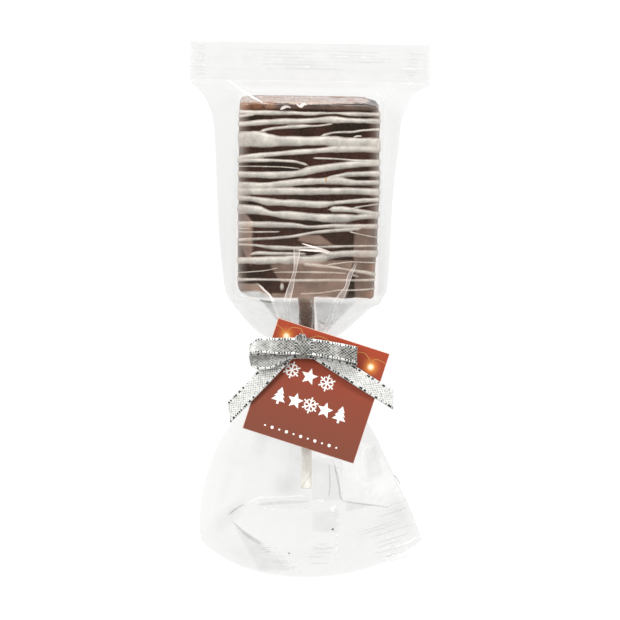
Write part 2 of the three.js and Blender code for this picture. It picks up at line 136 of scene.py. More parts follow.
def curve_at(pairs, where):
    """Smooth between the (place, value) pairs, without overshoot at flat stretches."""
    rising = sorted(pairs)
    x = np.array([p[0] for p in rising], float)
    y = np.array([p[1] for p in rising], float)
    slope = np.diff(y) / np.diff(x)
    tangent = np.empty_like(y)
    tangent[0], tangent[-1] = slope[0], slope[-1]
    same_way = slope[:-1] * slope[1:] > 0
    tangent[1:-1] = np.where(same_way, 2 * slope[:-1] * slope[1:] / (slope[:-1] + slope[1:] + 1e-12), 0)
    w = np.clip(where, x[0], x[-1])
    i = np.clip(np.searchsorted(x, w, side="right") - 1, 0, len(x) - 2)
    step = x[i + 1] - x[i]
    t = (w - x[i]) / step
    keep = (1 + 2 * t) * (1 - t) ** 2 * y[i] + t * t * (3 - 2 * t) * y[i + 1]
    return keep + step * (t * (1 - t) ** 2 * tangent[i] + t * t * (t - 1) * tangent[i + 1])


def path_at(run, path, where):
    """Points of a smooth line in the XY plane, which has its corners at the given run along it."""
    return np.stack([curve_at(list(zip(run, path[:, axis])), where) for axis in (0, 1)], -1)


def ease(t):
    t = np.clip(t, 0, 1)
    return t * t * (3 - 2 * t)


def mix(a, b, t):
    return a + (b - a) * t


def turned_by(points, turn):
    """The points' X and Y, turned round the origin."""
    x, y = points[..., 0], points[..., 1]
    cosine, sine = math.cos(turn), math.sin(turn)
    return coords(x * cosine - y * sine, x * sine + y * cosine)


# Smooth random heights
def cell_height(i, j, k):
    wave = np.sin(i * 127.1 + j * 311.7 + k * 74.7) * 43758.5453
    return wave - np.floor(wave)


def bumps(points, size):
    """Smooth random values between 0 and 1, one for each cell of the given size."""
    scaled = np.asarray(points, float) / size
    base = np.floor(scaled)
    part = ease(scaled - base)
    total = 0
    for n in range(8):
        corner = np.array([n & 1, (n >> 1) & 1, n >> 2])
        weight = np.prod(np.where(corner, part, 1 - part), axis=-1)
        at = base + corner
        total = total + weight * cell_height(at[..., 0], at[..., 1], at[..., 2])
    return total


def rough(points, size, layers=3):
    """Layered bumps between about -1 and 1."""
    total, share = 0, 1.0
    for layer in range(layers):
        total = total + share * (2 * bumps(np.asarray(points) + 31.7 * layer, size / 2 ** layer) - 1)
        share *= 0.5
    return total / 1.5


def rough_at(x, y, z, size, layers=3):
    """Layered bumps at places given by three coordinates."""
    return rough(coords(x, y, z), size, layers)


# Meshes
def grid_quads(rows, cols, wrap=False, closed=False):
    """Quads of a grid of points; wrap joins its last column to the first, and closed its last row."""
    i = np.arange(rows if closed else rows - 1)[:, None] * cols
    j = np.arange(cols if wrap else cols - 1)[None, :]
    k = (j + 1) % cols
    after = (i + cols) % (rows * cols)
    return coords(i + j, i + k, after + k, after + j).reshape(-1, 4)


def join(parts):
    """Several (points, faces) as one."""
    starts = np.cumsum([0] + [len(points) for points, _ in parts])
    faces = [faces + start for (_, faces), start in zip(parts, starts)]
    return np.concatenate([points for points, _ in parts]), np.concatenate(faces)


def make_mesh(name, points, faces, values=None, smooth=True):
    """An object from points in millimetres and faces of three or four corners, with named values."""
    points = np.asarray(points, float).reshape(-1, 3)
    faces = [np.asarray(f) for f in (faces if isinstance(faces, list) else [faces])]
    loops = np.concatenate([f.ravel() for f in faces])
    totals = np.concatenate([np.full(len(f), f.shape[1]) for f in faces])
    starts = np.concatenate([[0], np.cumsum(totals)[:-1]])
    mesh = bpy.data.meshes.new(name)
    mesh.vertices.add(len(points))
    mesh.vertices.foreach_set("co", ((points + MIDDLE_SHIFT) * MM).ravel())
    mesh.loops.add(len(loops))
    mesh.loops.foreach_set("vertex_index", loops.astype(np.int32))
    mesh.polygons.add(len(totals))
    mesh.polygons.foreach_set("loop_start", starts.astype(np.int32))
    mesh.polygons.foreach_set("loop_total", totals.astype(np.int32))
    mesh.polygons.foreach_set("use_smooth", np.full(len(totals), smooth))
    mesh.update(calc_edges=True)
    for key, value in (values or {}).items():
        flat = np.asarray(value, float)
        if flat.reshape(len(points), -1).shape[1] == 3:
            mesh.attributes.new(key, "FLOAT_VECTOR", "POINT").data.foreach_set("vector", flat.ravel())
        else:
            mesh.attributes.new(key, "FLOAT", "POINT").data.foreach_set("value", flat.ravel())
    mesh.validate()
    obj = bpy.data.objects.new(name, mesh)
    bpy.context.collection.objects.link(obj)
    return obj


def used_only(points, faces, value):
    """Drops the points that no face uses."""
    used, index = np.unique(faces, return_inverse=True)
    return points[used], index.reshape(faces.shape), value.ravel()[used]


def dress(obj, material, node, body="root"):
    """Gives a piece its material and its place in the model."""
    obj.data.materials.clear()
    obj.data.materials.append(material)
    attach(obj, body)
    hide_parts(node)
    return obj


# Node materials
class Shader:
    """A material's node tree, with short calls to add nodes."""

    def __init__(self, name):
        self.material = bpy.data.materials.new(name)
        self.material.use_nodes = True
        self.tree = self.material.node_tree
        self.tree.nodes.clear()
        self.output = self.tree.nodes.new("ShaderNodeOutputMaterial")

    def add(self, kind, inputs=None, **settings):
        node = self.tree.nodes.new("ShaderNode" + kind)
        for key, value in settings.items():
            setattr(node, key, value)
        for key, value in (inputs or {}).items():
            if isinstance(value, bpy.types.NodeSocket):
                self.tree.links.new(value, node.inputs[key])
            else:
                node.inputs[key].default_value = value
        return node

    def place(self):
        return self.add("TexCoord").outputs["Object"]

    def value(self, name):
        return self.add("Attribute", attribute_name=name).outputs["Fac"]

    def vector(self, name):
        return self.add("Attribute", attribute_name=name).outputs["Vector"]

    def math(self, operation, a, b=0.0, clamp=False):
        return self.add("Math", {0: a, 1: b}, operation=operation, use_clamp=clamp).outputs[0]

    def split(self, vector):
        return self.add("SeparateXYZ", {0: vector}).outputs

    def pair(self, x, y):
        return self.add("CombineXYZ", {0: x, 1: y, 2: 0.0}).outputs[0]

    def chance(self, where):
        return self.add("TexWhiteNoise", {0: where}).outputs["Value"]

    def noise(self, where, size_mm, detail=3.0, rough=0.5):
        """Noise with features of the given size in millimetres, from coordinates in metres."""
        inputs = {"Vector": where, "Scale": 1 / (size_mm * MM), "Detail": detail, "Roughness": rough}
        return self.add("TexNoise", inputs).outputs["Fac"]

    def range(self, value, low, high, to_low, to_high):
        inputs = {"Value": value, "From Min": low, "From Max": high, "To Min": to_low, "To Max": to_high}
        return self.add("MapRange", inputs, clamp=True).outputs["Result"]

    def blend(self, factor, a, b):
        node = self.add("Mix", data_type="RGBA")
        for socket, value in ((node.inputs["Factor"], factor), (node.inputs[6], a), (node.inputs[7], b)):
            if isinstance(value, bpy.types.NodeSocket):
                self.tree.links.new(value, socket)
            else:
                socket.default_value = value
        return node.outputs[2]

    def bump(self, height, strength, depth_mm, normal=None):
        inputs = {"Height": height, "Strength": strength, "Distance": depth_mm * MM}
        if normal is not None:
            inputs["Normal"] = normal
        return self.add("Bump", inputs).outputs["Normal"]

    def principled(self, inputs):
        """Ends the tree with a Principled shader."""
        return self.finish(self.add("BsdfPrincipled", inputs).outputs[0])

    def finish(self, shader):
        self.tree.links.new(shader, self.output.inputs["Surface"])
        return self.material


def colour(red, green, blue):
    """A display colour, 0 to 255, as the linear values that nodes use."""
    def linear(v):
        v = v / 255
        return v / 12.92 if v <= 0.04045 else ((v + 0.055) / 1.055) ** 2.4
    return (linear(red), linear(green), linear(blue), 1.0)


# An amber speck on one drizzle strand: its middle, and half its width and length
SPECK = np.array([6.5, 50.9, 27])
SPECK_SIZE = (0.5, 1.3)
# Painted shade: how much darker the drizzle is painted on the lower part of the bar, and where that fades
# out, in metres along Y
DRIZZLE_DIM = 0.1
DIM_FROM = (0.052, 0.062)


def chocolate_material():
    look = Shader("chocolate")
    where = look.place()
    tone = look.range(look.noise(where, 13, 3), 0.38, 0.62, 0, 1)
    base = look.blend(tone, colour(29, 22, 14), colour(57, 32, 25))
    grain = look.noise(where, 0.9, 4, 0.7)
    base = look.blend(look.range(grain, 0.56, 0.7, 0, 0.35), base, colour(106, 72, 56))
    # Painted reflection: the top end face is painted a pale pinkish beige, lighter towards the front edge and
    # broken up by noise, with dark flecks in it; its coat is glossier there too
    sheen_breakup = look.noise(where, 1.5, 5, 0.65)
    painted_sheen_reach = look.math("ADD", look.value("end_painted_sheen"), look.range(sheen_breakup, 0.3, 0.7, -0.35, 0.35))
    painted_sheen_colour = look.blend(look.value("edge"), colour(160, 110, 84), colour(206, 181, 167))
    base = look.blend(look.range(painted_sheen_reach, 0.35, 0.6, 0, 0.8), base, painted_sheen_colour)
    spotted = look.range(look.noise(where, 1.1, 3), 0.62, 0.66, 0, 1)
    flecks = look.math("MULTIPLY", spotted, look.value("end_painted_sheen"))
    base = look.blend(look.math("MULTIPLY", flecks, 0.6), base, colour(84, 58, 48))
    gloss = look.range(look.value("end_painted_sheen"), 0, 1, 0.12, 0.85)
    scuff = look.math("MULTIPLY", look.value("scuff"), look.range(grain, 0.4, 0.6, 0.45, 1))
    base = look.blend(scuff, base, colour(150, 102, 74))
    roughness = look.range(look.noise(where, 1.6, 5, 0.6), 0.3, 0.7, 0.16, 0.4)
    normal = look.bump(look.noise(where, 2.4, 3), 0.45, 0.16)
    normal = look.bump(look.noise(where, 0.5, 2), 0.3, 0.03, normal)
    return look.principled({
        "Base Color": base, "Roughness": roughness, "Normal": normal, "Specular IOR Level": 0.4,
        "Subsurface Weight": 0.03, "Subsurface Radius": (0.001, 0.0005, 0.0003),
        "Subsurface Scale": 0.5, "Coat Weight": gloss, "Coat Roughness": 0.1,
    })


def drizzle_material():
    look = Shader("white_chocolate")
    where = look.place()
    tone = look.range(look.noise(where, 5, 4, 0.6), 0.35, 0.65, 0, 1)
    base = look.blend(tone, colour(172, 167, 160), colour(211, 205, 195))
    patchy = look.noise(where, 1.6, 4, 0.65)
    base = look.blend(look.range(patchy, 0.52, 0.72, 0, 0.4), base, colour(152, 142, 134))
    depth = look.math("ADD", look.value("depth"), look.range(patchy, 0.3, 0.7, -0.08, 0.08))
    base = look.blend(look.range(depth, 0.03, 0.46, 0.85, 0), base, colour(108, 84, 72))
    speck = look.add("VectorMath", {0: where, 1: tuple((SPECK + MIDDLE_SHIFT) * MM)}, operation="SUBTRACT")
    speck_scale = (1 / (SPECK_SIZE[0] * MM), 1 / (SPECK_SIZE[1] * MM), 0)
    speck = look.add("VectorMath", {0: speck.outputs[0], 1: speck_scale}, operation="MULTIPLY")
    speck = look.add("VectorMath", {0: speck.outputs[0]}, operation="LENGTH").outputs["Value"]
    base = look.blend(look.range(speck, 0.5, 1, 0.8, 0), base, colour(184, 140, 72))
    # Painted shade over the lower part of the bar
    painted_shade = look.range(look.split(where)[1], *DIM_FROM, DRIZZLE_DIM, 0)
    base = look.blend(painted_shade, base, (0, 0, 0, 1))
    normal = look.bump(look.noise(where, 1.8, 3), 0.4, 0.14)
    return look.principled({
        "Base Color": base, "Roughness": 0.34, "Normal": normal, "Specular IOR Level": 0.45,
        "Subsurface Weight": 0.08, "Subsurface Radius": (0.0012, 0.001, 0.0008), "Subsurface Scale": 0.4,
    })


def paper_material():
    look = Shader("stick_paper")
    where = look.place()
    fibre = look.noise(where, 0.5, 4, 0.6)
    base = look.blend(look.range(fibre, 0.3, 0.7, 0, 1), colour(250, 246, 236), colour(255, 253, 247))
    from_seam = look.math("ABSOLUTE", look.math("SUBTRACT", look.math("FRACT", look.value("roll")), 0.5))
    seam = look.range(from_seam, 0, 0.04, 0, 1)
    normal = look.bump(seam, 0.5, 0.08, look.bump(fibre, 0.3, 0.03))
    return look.principled({
        "Base Color": look.blend(seam, colour(232, 225, 210), base), "Roughness": 0.75, "Normal": normal,
        "Specular IOR Level": 0.3,
    })


def film_material():
    """Clear film: a faint veil where the mesh says so, which also carries painted highlights, reflections and
    shade, a grey tint of painted shade beside the bar, and a gloss that grows at grazing angles.
    """
    look = Shader("clear_film")
    where = look.place()
    ripple = look.noise(where, 6, 3)
    normal = look.bump(ripple, 0.6, 0.6)
    normal = look.bump(look.noise(where, 1.3, 2), 0.2, 0.06, normal)
    # Painted shade: the see-through part is tinted grey beside the bar
    tint = look.blend(look.value("painted_side_shade"), (0.958, 0.959, 0.955, 1), (0.48, 0.48, 0.48, 1))
    clear = look.add("BsdfTransparent", {"Color": tint})
    # The veil's colour: grey for painted shade, white for painted highlights, brown over the chocolate
    grey = look.blend(look.value("tone"), (0.3, 0.3, 0.285, 1), (1, 1, 0.985, 1))
    grey = look.blend(look.value("warm"), grey, (0.82, 0.56, 0.43, 1))
    veil = look.add("BsdfPrincipled", {
        "Base Color": grey, "Roughness": 0.3, "Normal": normal, "Specular IOR Level": 0.3,
    })
    haze_and_painted_light = look.math("MULTIPLY", look.value("haze_and_painted_light"), look.range(ripple, 0.3, 0.7, 0.75, 1.25), clamp=True)
    body = look.add("MixShader", {0: haze_and_painted_light, 1: clear.outputs[0], 2: veil.outputs[0]})
    facing = look.add("LayerWeight", {"Blend": 0.5, "Normal": normal}).outputs["Facing"]
    gloss = look.add("BsdfGlossy", {"Color": (1, 1, 1, 1), "Roughness": 0.06, "Normal": normal})
    amount = look.range(look.math("POWER", facing, 4), 0, 1, 0.012, 0.16)
    return look.finish(look.add("MixShader", {0: amount, 1: body.outputs[0], 2: gloss.outputs[0]}).outputs[0])


def ribbon_material():
    """Metal mesh: open diamonds between slanting threads, and selvedges with dark dashes."""
    look = Shader("silver_weave")
    along, across, painted_light = look.split(look.vector("weave"))
    waves, counts = [], []
    for sign in (1, -1):
        lean = look.math("DIVIDE", across, MESH_WIDTH * sign)
        slant = look.math("ADD", look.math("DIVIDE", along, MESH_LENGTH), lean)
        waves.append(look.math("ABSOLUTE", look.math("SINE", look.math("MULTIPLY", slant, math.pi))))
        counts.append(look.math("FLOOR", slant))
    hole = look.chance(look.pair(*counts))
    cell = look.range(look.math("MULTIPLY", waves[0], waves[1]), 0.14, 0.4, 1, 0)
    cell = look.math("ADD", cell, look.range(hole, 0, 1, -0.3, 0.35), clamp=True)
    flat_thread = look.pair(along, across)
    spots = look.add("TexVoronoi", {"Vector": flat_thread, "Scale": 1.5}, feature="F1")
    chance = look.add("SeparateColor", {0: spots.outputs["Color"]})
    from_middle, half = look.math("ABSOLUTE", across), RIBBON_WIDTH / 2
    edge = look.range(from_middle, half - 0.95, half - 0.8, 0, 1)
    rim = look.range(from_middle, half - 0.3, half - 0.2, 0, 1)
    dash_count = look.math("DIVIDE", along, DASH_LENGTH)
    dash_share = look.range(look.chance(look.pair(look.math("FLOOR", dash_count), 0.0)), 0, 1, -0.2, 1.15)
    dash = look.math("LESS_THAN", look.math("FRACT", dash_count), dash_share)
    dash = look.math("MULTIPLY", dash, look.range(rim, 0, 1, 1, 0.45))
    patchy = look.noise(flat_thread, 1500, 3, 0.6)
    # Painted reflection and shade: the thread's painted brightness, with a random mottle, sets both the dark
    # and the light colour
    painted_light = look.math("ADD", painted_light, look.range(patchy, 0.3, 0.7, -0.22, 0.22), clamp=True)
    dark = look.blend(painted_light, colour(12, 12, 11), colour(200, 199, 195))
    light = look.blend(painted_light, colour(166, 165, 158), colour(255, 255, 251))
    base = look.blend(cell, dark, light)
    base = look.blend(edge, base, look.blend(dash, colour(228, 229, 225), colour(30, 31, 30)))
    tilt = look.math("MULTIPLY", chance.outputs[2], 0.7)
    normal = look.bump(look.math("ADD", cell, tilt), 0.5, 0.08)
    return look.principled({
        "Base Color": base, "Metallic": 0.1, "Roughness": look.range(chance.outputs[1], 0, 1, 0.3, 0.5),
        "Normal": normal, "Specular IOR Level": 0.4,
    })


def tag_material():
    look = Shader("tag_card")
    card = look.vector("card")
    place = look.split(card)
    half = TAG_SIDE / 2
    fall = look.range(place[1], -half, half, 0, 1)
    base = look.blend(look.range(fall, 0, 0.55, 0, 1), colour(126, 71, 55), colour(142, 69, 51))
    base = look.blend(look.range(fall, 0.5, 1, 0, 1), base, colour(166, 68, 43))
    glow = 0.0
    for bulb in TAG_BULBS:
        away = look.add("VectorMath", {0: card, 1: (bulb[0], bulb[1], 0)}, operation="DISTANCE")
        glow = look.math("MAXIMUM", look.range(away.outputs["Value"], 0.5, 4.6, 1, 0), glow)
    base = look.blend(look.math("POWER", glow, 2.0), base, colour(248, 158, 70))
    base = look.blend(look.range(glow, 0.72, 0.98, 0, 1), base, colour(255, 232, 176))
    out_x, out_y = (look.math("ABSOLUTE", place[n]) for n in (0, 1))
    rim = look.range(look.math("MAXIMUM", out_x, out_y), half - 0.2, half - 0.1, 0, 0.8)
    base = look.blend(rim, base, colour(240, 214, 202))
    fibre = look.noise(look.place(), 0.4, 3)
    normal = look.bump(fibre, 0.15, 0.02)
    return look.principled({
        "Base Color": base, "Roughness": look.range(fibre, 0.3, 0.7, 0.45, 0.6), "Normal": normal,
        "Specular IOR Level": 0.3,
    })


def print_material(name, ink):
    look = Shader(name)
    tone = look.range(look.noise(look.place(), 0.8, 3), 0.2, 0.3, 0, 1)
    faded = tuple(c * 0.9 for c in ink[:3]) + (1.0,)
    return look.principled({
        "Base Color": look.blend(tone, faded, ink), "Roughness": 0.5, "Specular IOR Level": 0.3,
    })


# The bar's coat
def bar_half_width(y):
    """Half the bar's width, which grows a little from the foot to the top."""
    return mix(BAR_WIDTH_FOOT / 2, BAR_WIDTH_TOP / 2, (y - BAR_FOOT_Y) / BAR_LENGTH)


def coat_depth(surface, outward):
    """How far the coat lies below its rounded box: the crisps' relief, and finer grain on the ends."""
    end = np.abs(outward[..., 1])
    relief = mix(COAT_RELIEF, END_RELIEF, end)
    depth = relief * (bumps(surface, CRISP_SIZE) - 1)
    depth = depth + mix(0.07, 0.3, end) * rough(surface, 2.2, 3)
    return np.where(outward[..., 2] < -0.5, 0.0, depth)


def box_shell(steps):
    """Lattice points and outward faces of a gridded box with its edges merged."""
    steps = np.array(steps)
    sides = []
    for axis in range(3):
        first, second = (axis + 1) % 3, (axis + 2) % 3
        for end in (0, 1):
            u, v = np.meshgrid(np.arange(steps[first] + 1), np.arange(steps[second] + 1), indexing="ij")
            lattice = np.zeros(u.shape + (3,), int)
            lattice[..., axis] = end * steps[axis]
            lattice[..., first], lattice[..., second] = u, v
            quads = grid_quads(*u.shape)
            sides.append((lattice.reshape(-1, 3), quads[:, ::-1] if end else quads))
    points, faces = join(sides)
    keys = points @ np.array([1, 10_000, 100_000_000])
    _, first_of, index = np.unique(keys, return_index=True, return_inverse=True)
    return points[first_of] / steps, index.reshape(-1)[faces]


# How far the bar's sides bulge: (y, distance) from the foot to the top
BULGE_LEFT = [(BAR_FOOT_Y, 0.45), (50, 0.3), (BAR_TOP_Y, 0)]
BULGE_RIGHT = [(BAR_FOOT_Y, -0.5), (38, 0.45), (65, 0.1), (BAR_TOP_Y, -0.45)]
# How far the top end leans out at the back
END_LEAN = 0.75
# Corners that are worn round: place (x, y), reach, and how far it moves (x, y)
WORN_CORNERS = [
    ((-BAR_WIDTH_FOOT / 2, BAR_FOOT_Y), 5.5, (0.9, 1.1)),
    ((BAR_WIDTH_TOP / 2, BAR_TOP_Y), 7, (-0.5, -0.9)),
]


def bulged(points):
    """The points with the bar's uneven sides."""
    y, share = points[..., 1], points[..., 0] / (BAR_WIDTH_FOOT / 2)
    move = np.where(share < 0, curve_at(BULGE_LEFT, y), curve_at(BULGE_RIGHT, y)) * share
    return points + coords(move, 0, 0)


# Places where the coat is rubbed to a lighter brown: x, distance down from the top edge, and size
COAT_SCUFFS = [(-25, 1.2, 6), (-20, 1.2, 5), (-15, 1.2, 4), (26, 63, 5), (25, 73, 4.5)]


def make_bar(material):
    thickness = BAR_FACE_Z - BAR_BACK_Z
    size = np.array([BAR_WIDTH_TOP, BAR_LENGTH, thickness])
    centre = np.array([0, BAR_TOP_Y - BAR_LENGTH / 2, BAR_BACK_Z + thickness / 2])
    share, faces = box_shell((104, 146, 50))
    corner = (share - 0.5) * size
    inner = size / 2 - COAT_RADIUS
    core = np.clip(corner, -inner, inner)
    outward = unit(corner - core)
    surface = core + outward * COAT_RADIUS + centre
    points = surface + outward * coat_depth(surface, outward)[:, None]
    points[:, 0] *= bar_half_width(points[:, 1]) / (BAR_WIDTH_TOP / 2)
    for place, reach, move in WORN_CORNERS:
        near = 1 - np.linalg.norm(points[:, :2] - np.array(place), axis=1) / reach
        points[:, :2] += np.array(move) * ease(near)[:, None]
    behind = 1 - (points[:, 2] - BAR_BACK_Z) / thickness
    middle = 1 - 0.8 * ease((np.abs(points[:, 0]) - 18) / 8)
    points[:, 1] += END_LEAN * behind * middle * ease((points[:, 1] - BAR_TOP_Y + 4) / 3)
    # Painted reflection: where the top end is painted pale, down to an uneven lower edge, and lighter still
    # towards the front face
    lower_edge = 0.5 * rough(points * np.array([1, 0, 0]) + 3, 7, 3) - 0.04 * np.maximum(points[:, 0], 0)
    end_painted_sheen = ease((points[:, 1] - BAR_TOP_Y + 1.5 + lower_edge) / 0.8)
    scuff = np.zeros(len(points))
    for x, down, reach in COAT_SCUFFS:
        away = np.linalg.norm(points - np.array([x, BAR_TOP_Y - down, BAR_FACE_Z - 1]), axis=1)
        scuff = np.maximum(scuff, ease(1 - away / reach))
    edge = ease((points[:, 2] - BAR_FACE_Z + 3.2) / 1.4)
    values = {"end_painted_sheen": end_painted_sheen, "edge": edge, "scuff": scuff}
    return dress(make_mesh("bar_coat", bulged(points), faces, values), material, "crispy_bar")


def on_coat(run, y):
    """Place and outward direction on the bar's face and sides, for a run that goes on past the edges."""
    edge = bar_half_width(y) - COAT_RADIUS
    arc = COAT_RADIUS * math.pi / 2
    side = np.sign(run)
    past = np.abs(run) - edge
    turn = np.clip(past / arc, 0, 1) * math.pi / 2
    down = np.maximum(past - arc, 0)
    x = np.where(past > 0, side * (edge + COAT_RADIUS * np.sin(turn)), run)
    z = BAR_FACE_Z - COAT_RADIUS * (1 - np.cos(turn)) - down
    outward = coords(side * np.sin(turn), 0, np.cos(turn))
    return coords(x, y, z), outward


# Drizzle strands from left to right: x, distance down from the bar's top edge, and width
THICK_DRIZZLE = [
    [(-27, 4.4, 1.3), (-20, 4.6, 1.9), (-10, 4.5, 1.8), (0, 4.6, 1.6), (9, 4.3, 0.9), (15, 4.6, 1.5),
     (27, 4.6, 1.7)],
    [(-27, 9, 2.2), (-20, 8.5, 2.3), (-10, 7.8, 2.3), (0, 7.3, 2.1), (8, 6.7, 2.6), (15, 7, 2), (27, 7, 2.1)],
    [(-27, 14.8, 6), (-20, 14.6, 5.8), (-15, 15, 4.5), (-5, 15.2, 3.6), (6, 14.8, 4), (15, 15.2, 3.8),
     (27, 15.3, 4.1)],
    [(-27, 21.9, 2), (-15, 20.3, 1.9), (-5, 19.2, 2), (5, 18.4, 2.1), (12, 17.8, 2.6), (27, 17.6, 2.9)],
    [(-27, 23, 1.6), (-15, 22.5, 1.5), (-7, 22.7, 1.2), (0, 24, 1.2)],
    [(-27, 27.9, 2.4), (-15, 28.1, 2.5), (-7, 27.7, 2.5), (0, 26.2, 3), (8, 24.7, 3), (16, 23.7, 2.5),
     (27, 22.9, 2.4)],
    [(6, 29, 1.3), (11, 27.9, 1.4), (15, 27.3, 2), (27, 26.7, 2.1)],
    [(-27, 32.2, 3), (-15, 31.9, 2.6), (-5, 30.6, 2.7), (5, 30, 2.9), (10, 29.7, 3), (16, 30.3, 2.3),
     (27, 30.1, 2.1)],
    [(-27, 34.5, 3.2), (-15, 34.2, 3), (0, 33.9, 2.8), (15, 33.6, 2.7), (27, 33.9, 3)],
    [(-27, 36.9, 2.2), (-21, 37.2, 2), (-15, 38.3, 3), (-5, 38.5, 2.7), (4, 38.9, 2.7), (11, 38, 1.8),
     (27, 36.6, 1.8)],
    [(7, 40.6, 1.8), (12, 40.4, 2), (18, 41, 1.8), (27, 42.3, 1.8)],
    [(-27, 41.2, 3.6), (-19, 41.3, 3.6), (-13, 42.7, 2.4), (-5, 43.3, 3.2), (13, 44, 3.1), (20, 43.3, 2.2),
     (27, 42.7, 3)],
    [(-27, 46.8, 2.2), (-15, 46.7, 2.4), (-5, 46.9, 2.1), (1, 47.4, 1.4), (10, 46.8, 1.6), (18, 46.9, 2.2),
     (27, 46.9, 2.2)],
    [(-27, 53, 1.4), (-15, 52.1, 1.2), (-5, 51, 1.3), (4, 49.3, 1.4), (12, 48.4, 1.4), (20, 47.9, 1)],
    [(-27, 54.5, 0.8), (-20, 54.7, 0.9), (-13, 55.5, 1.7), (-4, 55.7, 1.6), (5, 55, 1.2), (15, 54.5, 1),
     (27, 54.1, 0.9)],
    [(-27, 60.8, 2.8), (-15, 60.4, 3.1), (-5, 60.1, 3.8), (2, 59.6, 3.4), (9, 58.1, 3.3), (15, 57.3, 2.8),
     (27, 57.2, 3.4)],
    [(-2, 61.6, 1.6), (8, 62.4, 1.2), (15, 63.4, 1.1), (20, 64, 1.4), (27, 65.2, 1.7)],
    [(-27, 67.9, 1.6), (-15, 67.8, 1.1), (0, 67.8, 1.4), (15, 67.5, 1.1), (27, 67.2, 1.2)],
]
THIN_DRIZZLE = [
    [(-27, 6.1, 1.2), (-20, 5.2, 1)],
    [(-19, 11.7, 1.3), (-14, 10.6, 1.2), (-5, 9.6, 1.5), (2, 9.3, 0.8), (9, 8.3, 0.7)],
    [(4, 12.9, 1.2), (10, 11.5, 0.8), (15, 11.3, 0.9), (20, 10.6, 0.9), (27, 10.1, 1)],
    [(-27, 24.9, 0.6), (-12, 24.9, 0.5), (-3, 25.5, 0.5)],
    [(1, 21.4, 0.9), (10, 21.5, 0.7), (18, 22, 1.1), (27, 22.2, 1.6)],
    [(16, 40.2, 1), (20, 39.3, 0.8), (27, 38.2, 0.6)],
    [(-27, 49.7, 0.8), (-12, 49.6, 0.6), (-10, 49.3, 0.4)],
    [(-27, 48.6, 0.7), (-21, 48.4, 0.5)],
    [(15, 48.9, 0.7), (20, 50, 0.5), (27, 51.1, 0.6)],
    [(-22, 58.3, 0.9), (-18, 57.6, 1.5), (-9, 57.8, 1.4), (0, 57.6, 1)],
    [(7, 61.7, 0.5), (12, 61.1, 0.6), (17, 60.5, 0.5), (27, 60.5, 0.6)],
    [(-27, 65.4, 0.5), (-20, 64.9, 0.6), (-15, 64.3, 0.5), (-10.5, 63.2, 0.6)],
    [(-13, 64.9, 0.5), (-5, 64.7, 0.7), (5, 64.7, 0.8), (15.5, 64.9, 0.7)],
    [(-3, 73, 0.6), (5, 72.5, 0.6), (9, 71.9, 0.6), (12, 71.3, 0.7), (20, 71, 0.7), (27, 70.4, 0.8)],
]
# A drop of drizzle: x, distance down, half width and half length
DRIZZLE_DROP = (-9.3, 70.4, 0.85, 1.5)
# How far past the bar's width the drizzle's grid goes, how sharply strands join, and the height that
# stands for no strand
SIDE_RUN = 8.0
DRIZZLE_BLEND = 3.6
DRIZZLE_NONE = -2.5


def drizzle_height(run, y):
    """Height of the joined strands over the coat, below zero where there is none."""
    edge = BAR_WIDTH_TOP / 2 - COAT_RADIUS
    arc = COAT_RADIUS * math.pi / 2
    total = np.zeros_like(run)
    for order, strand in enumerate(THICK_DRIZZLE + THIN_DRIZZLE):
        first, last = strand[0][0], strand[-1][0]
        wander = 0.16 * rough_at(run, 17 * order, 0, 6, 2)
        centre = BAR_TOP_Y - curve_at([(x, down) for x, down, _ in strand], run) + wander
        spill = arc + 3 + 4 * cell_height(order, 1, 2)
        start = -(edge + spill) if first < -edge else first
        stop = edge + spill if last > edge else last
        swell = 1 + 0.2 * rough_at(run, 29 * order, 5, 5, 2)
        wide = curve_at([(x, width) for x, _, width in strand], run) * swell / 2
        inside = np.minimum(run - start, stop - run)
        reach = ease(np.clip(inside / (1.2 * wide + 0.9), 0, 1))
        wide = wide * np.maximum(reach, 0.05)
        wrapped = ease((np.abs(run) - edge) / arc)
        high = np.minimum(1, 0.34 + 0.3 * wide) * reach * (1 - 0.5 * wrapped)
        away = np.abs(y - centre) / (1.02 * wide)
        height = np.where(inside > 0, high * (1 - away ** 2), DRIZZLE_NONE)
        total += np.exp(DRIZZLE_BLEND * np.maximum(height, DRIZZLE_NONE))
    x, down, half_width, half_length = DRIZZLE_DROP
    away = ((run - x) / half_width) ** 2 + ((y - BAR_TOP_Y + down) / half_length) ** 2
    total += np.exp(DRIZZLE_BLEND * np.maximum(0.6 * (1 - away), DRIZZLE_NONE))
    dents = 0.12 * rough_at(run, y, 11, 3.5)
    return np.log(total) / DRIZZLE_BLEND + dents


def make_drizzle(material):
    half = BAR_WIDTH_TOP / 2 + SIDE_RUN + 1
    rows, cols = 500, 230
    down = np.linspace(BAR_FOOT_Y + 0.6, BAR_TOP_Y - 1.4, rows)
    y, run = np.meshgrid(down, np.linspace(-half, half, cols), indexing="ij")
    surface, outward = on_coat(run, y)
    height = drizzle_height(run, y)
    sunk = -0.35
    base = surface + outward * coat_depth(surface, outward)[..., None]
    points = bulged(base + outward * np.maximum(height, sunk)[..., None])
    faces = grid_quads(rows, cols)[:, ::-1]
    shown = height.ravel()[faces].max(axis=1) > sunk * 0.5
    points, faces, depth = used_only(points.reshape(-1, 3), faces[shown], height)
    obj = make_mesh("drizzle", points, faces, {"depth": depth})
    return dress(obj, material, "crispy_bar")


# The length of stick in which the paper's seam goes round once
PAPER_PITCH = 17


# Round pieces along the stick
def along_stick(points):
    """From the stick's own frame, with its axis on Y, to its place below the bar."""
    turned = np.concatenate([turned_by(points, STICK_LEAN), points[..., 2:]], -1)
    return turned + np.array([0, BAR_FOOT_Y, STICK_Z])


